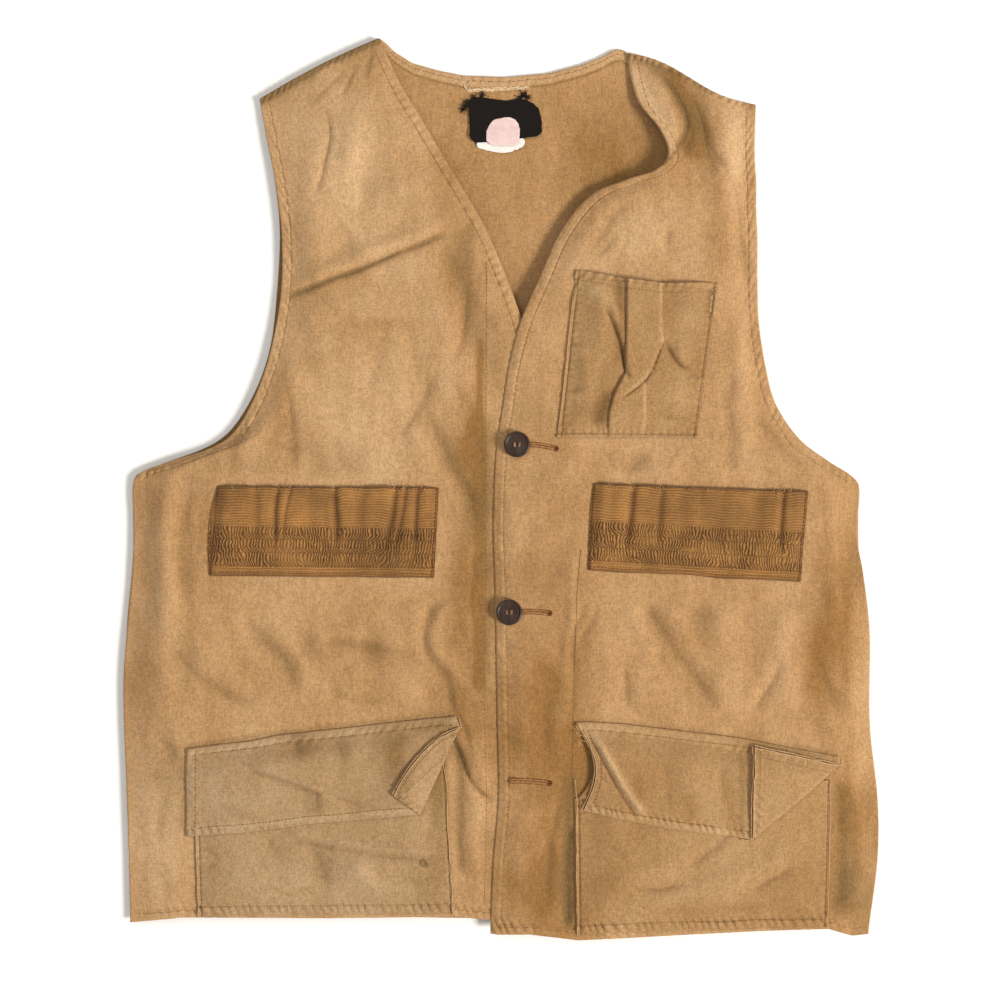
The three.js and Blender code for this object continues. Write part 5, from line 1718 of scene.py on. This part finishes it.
def make_flap(name, surface, lines, finish):
    ups, shares = (np.linspace(0, 1, count) for count in FLAP_GRID)
    up, across = np.meshgrid(ups, shares, indexing="ij")
    grid, relief = surface(up, across, with_relief=True)
    x, y = grid[..., 0], grid[..., 1]
    relief = relief + crease_height(FLAP_PAINTED_SHADE, x, y)
    fade = fade_at(x, y, FLAP_PATCHES, FLAP_STREAKS)
    obj = cloth_wall(name, grid, FLAP_CANVAS, {"relief": relief, "fade": fade})
    set_finish(obj, finish)
    seams = side_stitches(surface, lines, FLAP_SEAM, ON_CANVAS, 0.08, 0.92)
    seams += level_stitches(surface, lines, FLAP_SEAM, ON_CANVAS, False, 0.03, 0.97)
    seams += level_stitches(surface, lines, FLAP_TOP_SEAM, ON_CANVAS, True, 0.03, 0.97)
    return obj, seams


# The worn double edge of a turned corner: two cords side by side along its rim.
def edge_cords(surface, up, across, inward):
    path = surface(up, across)
    out = path - surface(up + inward[0], across + inward[1])
    out[:, 2] = 0
    out = unit(out)
    wave = 0.25 * soft_noise(np.arange(len(up)) * 1.0, up * 0, 5, 97)[:, None]
    lift = np.array([0, 0, 0.5])
    return [path + out * (0.1 + wave) + lift, path + out * (1.5 - wave) - lift]


# The rolled edge of a sewn-on pocket, straight or ragged.
def rolled_edge(surface, up, across, ragged, seed):
    path = surface(up, across)
    run = np.arange(len(path)) * 1.0
    path[:, 0] += ragged * soft_noise(run, run * 0, 9, seed)
    path[:, 1] += ragged * soft_noise(run, run * 0, 9, seed + 1)
    path[:, 2] += 0.35
    return path


def make_band(name, lines, height, tucks, bow):
    surface = band_surface(lines, height, tucks, bow)
    ups, shares = (np.linspace(0, 1, count) for count in BAND_GRID)
    up, across = np.meshgrid(ups, shares, indexing="ij")
    grid = surface(up, across)
    a, b, c, d = corners_of(lines)
    x, y = grid[..., 0], grid[..., 1]
    foot = to_line(x, y, a, b)
    full = BAND_RISE * ease(foot / BAND_FOOT)
    rim = np.minimum(np.minimum(foot, to_line(x, y, c, d)), from_sides(lines, x, y))
    # The band's edges are painted darker as an outline of shade, and its tucks and low places darker as
    # painted shade.
    border = -3.2 * bell(rim / 1.1)
    relief = (grid[..., 2] - height(x, y) - BAND_BASE - full * 0.85) * ease(rim / 8) + border
    bend = np.zeros_like(foot)
    for tuck in tucks:
        off = (across - blend(tuck["low"], tuck["top"], up)) * BAND_WIDTH / 6
        bend = bend + 0.5 * tuck["depth"] * bell(off) * ease((foot - 36) / 6)
    values = {"relief": relief, "up_mm": foot + bend, "across_mm": to_line(x, y, d, a)}
    thick = BAND * (0.55 + 0.45 * ease(rim / 4))
    grid[..., 2] -= (BAND - thick) / 2
    obj = cloth_wall(name, grid, thick, values, under=BAND_UNDER)
    set_finish(obj, ELASTIC)
    seams = level_stitches(surface, lines, BAND_FOOT_SEAM, ON_BAND, top=False)
    seams += side_stitches(surface, lines, BAND_SEAM, ON_BAND)
    return obj, seams, band_tacks(surface, tucks)


# Pale bar tacks along a band's open edge, with a few loose ends.
def band_tacks(surface, tucks):
    spin = np.random.default_rng(64)
    tacks = []
    places = sorted([tuck["top"] for tuck in tucks] + list(spin.uniform(0.03, 0.97, 5)))
    for at in places:
        for _ in range(3):
            share = np.clip(at + spin.uniform(-0.02, 0.02), 0.01, 0.99)
            level = spin.uniform(0.95, 0.99)
            run = np.array([0.0, 0.5, 1.0])
            rise = run * spin.uniform(-0.02, 0.03)
            strand = surface(level + rise, share + run * spin.uniform(-0.014, 0.014))
            strand[:, 2] += BAND / 2 + np.array([0.05, 0.5, 0.15])
            tacks.append(strand)
        if spin.uniform() < 0.4:
            root = surface(np.array(0.985), np.array(at))
            steps = np.linspace(0, 1, 5)[:, None]
            heading = np.array([spin.uniform(-1.5, 1.5), spin.uniform(3.0, 6.0), 0.0])
            tacks.append(root + steps * heading + np.array([0, 0, BAND / 2]) + 0.6 * np.sin(steps * 3))
    return tacks


# Half the outline of a button, from the middle of its foot round to its dished face: radius and height.
BUTTON_PROFILE = (
    (0, 0), (5, 0), (7.4, 0.1), (8.6, 0.45), (9.5, 1.0), (9.9, 1.7), (9.9, 2.4), (9.6, 3.0), (9.0, 3.35),
    (8.5, 3.3), (8.1, 2.9), (7.8, 2.5), (7.4, 2.45), (7.0, 2.6), (6.2, 2.55), (4.5, 2.35), (3.0, 2.2),
    (0, 2.05),
)
BUTTON_SIDES = 48


def make_button(spot):
    name = f"button_{spot['name']}"
    centre = np.array([spot["x"], spot["y"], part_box(name)[0][2] / MM])
    profile = np.array(BUTTON_PROFILE, dtype=float)
    radius, level = profile[1:-1, :1], profile[1:-1, 1:]
    angle = 2 * np.pi * np.arange(BUTTON_SIDES) / BUTTON_SIDES
    rings = np.stack([radius * np.cos(angle), radius * np.sin(angle), level + 0 * angle], axis=-1)
    ends = [(0, 0, profile[0, 1]), (0, 0, profile[-1, 1])]
    points = np.concatenate([rings.reshape(-1, 3), ends]) + centre
    bottom = len(radius) * BUTTON_SIDES
    upper = bottom - BUTTON_SIDES
    faces = []
    for ring in range(0, upper, BUTTON_SIDES):
        for i in range(BUTTON_SIDES):
            n = (i + 1) % BUTTON_SIDES
            above = ring + BUTTON_SIDES
            faces.append((ring + i, ring + n, above + n, above + i))
    for i in range(BUTTON_SIDES):
        n = (i + 1) % BUTTON_SIDES
        faces.append((bottom, n, i))
        faces.append((bottom + 1, upper + i, upper + n))
    obj = plain_object(f"{name}_disc", points, faces)
    set_finish(obj, BUTTON)
    return obj, centre


# Button thread: two bars of several strands over the dished middle, and the shank below.
def button_thread(spot, centre):
    strands = []
    top = centre[2] + BUTTON_THICK - BUTTON_DISH + 0.2
    for side in (-1, 1):
        for k in range(3):
            off = side * HOLE_OFFSET * 0.8 + (k - 1) * 0.5
            reach = np.linspace(-HOLE_OFFSET * 0.75, HOLE_OFFSET * 0.75, 7)
            bow = 0.4 * np.cos(reach / HOLE_OFFSET * math.pi / 2) + 0.08 * (k % 2)
            lowered = np.where(np.abs(reach) > HOLE_OFFSET * 0.7, -0.6, 0)
            lean = 0.12 * side * reach
            strand = np.stack([spot["x"] + off + lean, spot["y"] + reach, top + bow + lowered], axis=-1)
            strands.append(strand)
    foot = front_height(np.array(float(spot["x"])), np.array(float(spot["y"]))) + CANVAS / 2 + 0.3
    for k in range(5):
        turn = 2 * math.pi * k / 5
        x, y = spot["x"] + 0.7 * math.cos(turn), spot["y"] + 0.7 * math.sin(turn)
        strands.append(np.array([(x, y, float(foot)), (x, y, centre[2] - 0.3)]))
    return strands


# Dark discs in each button's four holes, standing in for the shade inside them.
def hole_dots(spot, centre):
    dots = []
    for sx in (-1, 1):
        for sy in (-1, 1):
            x, y = spot["x"] + sx * HOLE_OFFSET * 0.8, spot["y"] + sy * HOLE_OFFSET * 0.8
            z = centre[2] + BUTTON_THICK - BUTTON_DISH - 0.05
            dots.append(np.array([(x, y, z - 0.3), (x, y, z)]))
    return dots


# A worked buttonhole: pale satin lips inside a dark outline, a slit between them and an eyelet at the end;
# the slit and the eyelet are dark threads standing in for the shade in the opening.
def buttonhole(hole, surface_z):
    start = np.array([hole["x1"], hole["y1"]], dtype=float)
    end = np.array([hole["x2"], hole["y2"]], dtype=float)
    length = np.linalg.norm(end - start)
    along = (end - start) / length
    side = np.array([-along[1], along[0]])
    spin = np.random.default_rng(81)
    bowed = lambda s: start + along * s + side * 0.7 * math.sin(math.pi * s / length)

    def strand(*marks):
        return np.array([(x, y, float(surface_z(np.array(x), np.array(y))) + up) for (x, y), up in marks])

    satin, outline = [], []
    for s in np.arange(0.3, length - 1.2, 0.5):
        for way in (-1, 1):
            inner = bowed(s + spin.uniform(-0.1, 0.1)) + side * way * 0.3
            outer = bowed(s + spin.uniform(-0.2, 0.2)) + side * way * (1.7 + spin.uniform(-0.15, 0.2))
            satin.append(strand((inner, 0.25), ((inner + outer) / 2, 0.5), (outer, 0.1)))
            if spin.uniform() < 0.72:
                purl = bowed(s + 0.55) + side * way * (1.8 + spin.uniform(-0.15, 0.2))
                outline.append(strand((outer, 0.3), ((outer + purl) / 2, 0.5), (purl, 0.3)))
    for turn in np.arange(0, 2 * math.pi, 0.3):
        ray = along * math.cos(turn) + side * math.sin(turn)
        outline.append(strand((end + ray * 0.8, 0.35), (end + ray * 1.5, 0.6), (end + ray * 2.2, 0.1)))
        if math.cos(turn) < -0.2:
            near = start + ray * 0.9
            outline.append(strand((near + ray * 0.6, 0.3), (near + ray * 0.9, 0.4), (near + ray * 1.1, 0.1)))
    slit = strand(*[(bowed(s), 0.12) for s in np.linspace(1.0, length, 14)])
    eye = strand(*[(end + np.array([dx, 0]), 0.3) for dx in (-0.7, 0, 0.7)])
    return satin, outline, [slit, eye]


def sheet_border(edge):
    closed = np.array(edge + edge[:1], dtype=float)
    run = run_along(closed)
    marks = np.linspace(0, run[-1], int(run[-1] / LABEL_STEP) + 1)[:-1]
    border = np.stack([np.interp(marks, run, closed[:, k]) for k in range(2)], axis=-1)
    turns = range(-LABEL_ROUNDING, LABEL_ROUNDING + 1)
    border = np.mean([np.roll(border, k, axis=0) for k in turns], axis=0)
    ragged = [soft_noise(marks, marks * 0, 2.2, seed) for seed in (91, 92)]
    return border + 0.3 * np.stack(ragged, axis=-1)


def sheet_faces(count, rings):
    size = count * rings + 1
    faces = []
    for base, way in ((0, 1), (size, -1)):
        for outer in range(base, base + (rings - 1) * count, count):
            for k in range(count):
                n = (k + 1) % count
                faces.append((outer + k, outer + n, outer + count + n, outer + count + k)[::way])
        inner = base + (rings - 1) * count
        for k in range(count):
            faces.append((inner + k, inner + (k + 1) % count, base + size - 1)[::way])
    for k in range(count):
        n = (k + 1) % count
        faces.append((k, size + k, size + n, n))
    return faces


# A small closed sheet inside an outline, as rings that shrink to its middle.
def polygon_sheet(name, edge, height, thick, material):
    centre = np.array(edge, dtype=float).mean(axis=0)
    border = sheet_border(edge)
    points = []
    for layer in (1, -1):
        for ring in LABEL_RINGS:
            xy = centre + (border - centre) * ring
            inset = 0.25 if ring == 1.0 else 0.0
            z = height(xy[:, 0], xy[:, 1]) + layer * (thick / 2 - inset)
            points.append(np.column_stack([xy, z]))
        middle = float(height(*centre)) + layer * thick / 2
        points.append(np.array([[*centre, middle]]))
    obj = plain_object(name, np.concatenate(points), sheet_faces(len(border), len(LABEL_RINGS)))
    set_finish(obj, material)
    return obj


LABEL_STEP = 1.2
LABEL_ROUNDING = 3
LABEL_RINGS = (1.0, 0.985, 0.95, 0.85, 0.7, 0.5, 0.3, 0.12)
LABEL_THICK = 1.0
STICKER_THICK = 0.4
TAG_HEIGHT = CANVAS + GAP + LABEL_THICK / 2 + BACK_WRINKLE_ROOM
TAG_EDGE = ((-21, 268), (-20, 264), (-8, 261), (4, 260), (17, 265), (18, 271), (10, 274), (-14, 274))
STICKER_EDGE = (
    (-12, 266.5), (0, 265), (12.5, 266.5), (13, 273), (13.5, 282), (8, 287), (0, 287.5), (-8, 285),
    (-13, 276),
)


def tag_height(x, y):
    return TAG_HEIGHT + 0 * x


def label_height(x, y):
    over_tag = (LABEL_THICK + GAP) * ease((282 - y) / 10)
    return TAG_HEIGHT + over_tag + 0.15 * soft_noise(x, y, 14, 93)


def sticker_height(x, y):
    return label_height(x, y) + LABEL_THICK + GAP - 0.3


# Loose ends: short bent strands from a point, in a fan of directions.
def frayed(spots, count, reach, seed, spread=0.9, curl=0.9):
    spin = np.random.default_rng(seed)
    strands = []
    for x, y, z, heading in spots:
        for _ in range(count):
            turn = math.radians(heading) + spin.uniform(-spread, spread)
            length = reach * spin.uniform(0.4, 1.0)
            bend = spin.uniform(-curl, curl)
            steps = np.linspace(0, 1, 6)
            px = x + spin.uniform(-1.2, 1.2) + length * steps * np.cos(turn + bend * steps)
            py = y + spin.uniform(-1.0, 1.0) + length * steps * np.sin(turn + bend * steps)
            pz = z + spin.uniform(0, 0.6) + 0.8 * np.sin(steps * 3) * spin.uniform(0, 1)
            strands.append(np.stack([px, py, pz], axis=-1))
    return strands


# Frayed corners of the flaps: place, heading in degrees, and the cloth and pocket below.
FRAY_SPOTS = (
    (-41, -186, -70, front_height, HIP_RIGHT), (-40, -192, -95, front_height, HIP_RIGHT),
    (56, -186, -40, lap_height, HIP_LEFT), (59, -192, -60, lap_height, HIP_LEFT),
    (254, -213, -60, lap_height, HIP_LEFT), (257, -212, 20, lap_height, HIP_LEFT),
)


def build_loose_threads():
    seam = seam_path(FACING_LEFT, lap_height, CANVAS / 2 + 0.02, 160)
    add_threads("front_left_seam", [seam], SEAM_LINE, FACING_SEAM, 6)
    spots = []
    for x, y, heading, height, pocket in FRAY_SPOTS:
        at = (np.array(float(x)), np.array(float(y)))
        top = float(height(*at) + hip_rise(pocket, *at))
        spots.append((x, y, top + ON_FRONT + 2.2, heading))
    add_threads("flap_corner_frays", frayed(spots, 3, 6, 98, 0.6), PALE_THREAD, FRAY)


def build_fronts(pieces):
    fronts = (
        ("right", FRONT_RIGHT_ROWS, front_height, HEM_RIGHT_WAVE, ARMPIT_RIGHT, False),
        ("left", FRONT_LEFT_ROWS, lap_height, HEM_LEFT_WAVE, ARMPIT_LEFT, True),
    )
    for side, rows, height, wave, armpit, lap in fronts:
        cloth, seams = make_front(f"front_{side}_cloth", rows, height, wave, armpit, lap)
        pieces[f"front_{side}"] = (cloth, seams, "canvas", [])
    cloth, seams = make_back()
    pieces["back_panel"] = (cloth, seams, "canvas_inside", [])


def build_pockets(pieces):
    along = np.linspace(0, 1, RIM_POINTS)
    first, last = np.full(RIM_POINTS, RIM_INSET), np.full(RIM_POINTS, 1 - RIM_INSET)
    cloth, seams = make_chest_pocket()
    rims = [rolled_edge(chest_surface, along * 0.97, share, 0.1, 101) for share in (first, last)]
    rims.append(rolled_edge(chest_surface, first, along, 0.1, 103))
    rim = add_threads("chest_pocket_edge", rims, HEM_EDGE, CHEST_RIM, 6)
    pieces["chest_pocket"] = (cloth, seams, "pocket_canvas", [rim])
    hips = (
        ("right", HIP_RIGHT, front_height, 0, POCKET_GREY, (0.3, 0.9), 0.4),
        ("left", HIP_LEFT, lap_height, MOUTH_DIP, POCKET, (0.6, 0.3), 0.3),
    )
    for side, lines, height, dip, finish, ragged, radius in hips:
        node = f"hip_pocket_{side}"
        cloth, seams = make_hip_pocket(f"{node}_cloth", lines, height, dip, finish)
        surface = hip_surface(lines, height, 0)
        rims = [rolled_edge(surface, along * 0.86, first, ragged[0], 105)]
        rims.append(rolled_edge(surface, along * 0.99, last, ragged[1], 107))
        rim = add_threads(f"{node}_edge", rims, HEM_EDGE, radius, 6)
        pieces[node] = (cloth, seams, "pocket_canvas", [rim])


def build_flaps(pieces):
    up = np.linspace(0, 0.97, CORD_POINTS)
    first, last = np.zeros(CORD_POINTS), np.ones(CORD_POINTS)
    right = flap_surface(
        FLAP_RIGHT, HIP_RIGHT, front_height, FLAP_RIGHT_FOLDS, FLAP_RIGHT_CREASE, 0, FLAP_RIGHT_BULGE,
    )
    left = flap_surface(
        FLAP_LEFT, HIP_LEFT, lap_height, FLAP_LEFT_FOLDS, FLAP_LEFT_CREASE, FLAP_LEFT_BOW, 0,
    )
    flaps = (("right", right, FLAP_RIGHT, POCKET_GREY), ("left", left, FLAP_LEFT, POCKET))
    for side, surface, lines, finish in flaps:
        cloth, seams = make_flap(f"flap_{side}_cloth", surface, lines, finish)
        cords = edge_cords(surface, up, last, (0, -0.02))
        if side == "left":
            cords += edge_cords(surface, up, first, (0, 0.02))
            cords += edge_cords(surface, first, np.linspace(0.64, 1, CORD_POINTS), (0.03, 0))
        edge = add_threads(f"flap_{side}_edge", cords, HEM_EDGE, FLAP_RIM, 7)
        pieces[f"flap_{side}"] = (cloth, seams, "pocket_canvas", [edge])


def build_bands(pieces):
    bands = (
        ("right", BAND_RIGHT, front_height, BAND_RIGHT_TUCKS, BAND_RIGHT_BOW),
        ("left", BAND_LEFT, lap_height, BAND_LEFT_TUCKS, BAND_LEFT_BOW),
    )
    for side, lines, height, tucks, bow in bands:
        node = f"shell_band_{side}"
        cloth, seams, tacks = make_band(f"{node}_elastic", lines, height, tucks, bow)
        bars = add_threads(f"{node}_tacks", tacks, TACK_THREAD, TACK)
        pieces[node] = (cloth, seams, "elastic", [bars])


# Each sewn piece of cloth, with its stitching and what else goes with it.
def build_vest():
    pieces = {}
    for build in (build_fronts, build_pockets, build_flaps, build_bands):
        build(pieces)
    for node, (cloth, seams, slot, extras) in pieces.items():
        place_piece(cloth, node)
        thread = BROWN_THREAD if "band" in node else TOPSTITCH
        stitching = add_threads(f"{node}_stitching", seams, thread)


def build_buttons():
    lap_top = lambda x, y: lap_height(x, y) + CANVAS / 2
    for spot in BUTTONS:
        button, thread = f"button_{spot['name']}", f"thread_{spot['name']}"
        disc, centre = make_button(spot)
        place_piece(disc, button)
        strands = button_thread(spot, centre)
        add_threads(f"{thread}_strands", strands, BUTTON_THREAD, TACK, 6, thread)
        add_threads(f"{button}_holes", hole_dots(spot, centre), LABEL, HOLE_RADIUS, 12)
    lips, outlines, slits = [], [], []
    for hole in BUTTONHOLES:
        satin, outline, dark = buttonhole(hole, lap_top)
        lips += satin
        outlines += outline
        slits += dark
    add_threads("buttonhole_lips", lips, TAN_SATIN, SATIN)
    add_threads("buttonhole_outlines", outlines, BROWN_THREAD, TACK)
    add_threads("buttonhole_slits", slits, DARK_SLIT, SLIT, 6)


# Frayed places round the label: place and heading in degrees.
LABEL_FUZZ = (
    (-27, 296, 185), (-29, 294, 190), (-26, 299, 165), (-21, 302, 130), (-16, 303, 80), (14, 302, 80),
    (16, 304, 70), (18, 302, 60),
)
NECK_FRAYS = ((-33, 317, 3.2, -62), (-25, 315, 3.2, -115), (-30, 312, 3.2, -70))
NECK_TUFTS = ((-25, 310, 3.0, -60), (-9, 310, 3.0, -60), (15, 310, 3.0, -60))


def build_label():
    sheets = (
        ("neck_label", "weave", LABEL_EDGE, label_height, LABEL_THICK, LABEL, "label"),
        ("size_tag", "tape", TAG_EDGE, tag_height, LABEL_THICK, TAG, "tag"),
        ("tag_sticker", "paper", STICKER_EDGE, sticker_height, STICKER_THICK, STICKER, "sticker"),
    )
    for node, stuff, edge, height, thick, finish, slot in sheets:
        sheet = polygon_sheet(f"{node}_{stuff}", edge, height, thick, finish)
        place_piece(sheet, node)
    fuzz = frayed([(x, y, TAG_HEIGHT, heading) for x, y, heading in LABEL_FUZZ], 20, 5.5, 95)
    add_threads("neck_label_fuzz", fuzz, LABEL, FUZZ, 4)
    torn = []
    for x in range(-26, 15, 4):
        y = 309.8 + 0.05 * x + 0.4 * math.sin(x * 0.7)
        torn += frayed([(x, y, 2.4, 3)], 5, 8, 96 + x, 0.08, 0.15)
    torn += frayed(NECK_FRAYS, 3, 7, 99, 0.15)
    torn += frayed(NECK_TUFTS, 2, 2.5, 100)
    add_threads("neck_hem_frays", torn, TORN_THREAD, TACK, 4)


# Stage
FLOOR_SIDE = 6.0
ROOM_COLOUR = (1.0, 0.985, 0.96, 1.0)
ROOM_STRENGTH = 0.42
LIGHTS = table("name place size power colour", [
    ("window", (3.5, -1.5, 3.3), 1.5, 270, (1.0, 0.97, 0.92)),
    ("ceiling", (-1.0, 1.2, 2.6), 1.6, 20, (1.0, 0.99, 0.97)),
])
LENS = 60
SENSOR = 36
VIEW_END = 20


# A round light that faces the vest's middle.
def area_light(name, place, size, power, colour):
    light = bpy.data.lights.new(name, "AREA")
    light.shape = "DISK"
    light.size = size
    light.energy = power
    light.color = colour
    obj = link_object(name, light)
    obj.location = place
    pitch = math.acos(place[2] / np.linalg.norm(place))
    obj.rotation_euler = (pitch, 0, math.atan2(place[0], -place[1]))


def build_floor():
    mesh = bpy.data.meshes.new("studio_floor")
    corners = [(x * FLOOR_SIDE, y * FLOOR_SIDE, 0) for x, y in ((-1, -1), (1, -1), (1, 1), (-1, 1))]
    mesh.from_pydata(corners, [], [(0, 1, 2, 3)])
    floor = link_object("studio_floor", mesh)
    set_finish(floor, floor_material())


def build_camera():
    camera = bpy.data.cameras.new("photo_camera")
    camera.lens = LENS
    camera.sensor_width = SENSOR
    camera.clip_end = VIEW_END
    obj = link_object("photo_camera", camera)
    reach = IMAGE_SIDE * PHOTO_SCALE * MM * LENS / SENSOR
    x, y = ((PHOTO_CENTRE[k] + SHIFT[k]) * MM for k in range(2))
    obj.location = (x, y, reach + FRONT_HEIGHT * MM)
    bpy.context.scene.camera = obj


def build_stage():
    scene = bpy.context.scene
    scene.view_settings.view_transform = "Standard"
    build_floor()
    world = bpy.data.worlds.new("Soft room")
    world.use_nodes = True
    background = world.node_tree.nodes["Background"]
    background.inputs["Color"].default_value = ROOM_COLOUR
    background.inputs["Strength"].default_value = ROOM_STRENGTH
    scene.world = world
    for light in LIGHTS:
        area_light(**light)
    build_camera()


build_stage()
build_vest()
build_loose_threads()
build_buttons()
build_label()
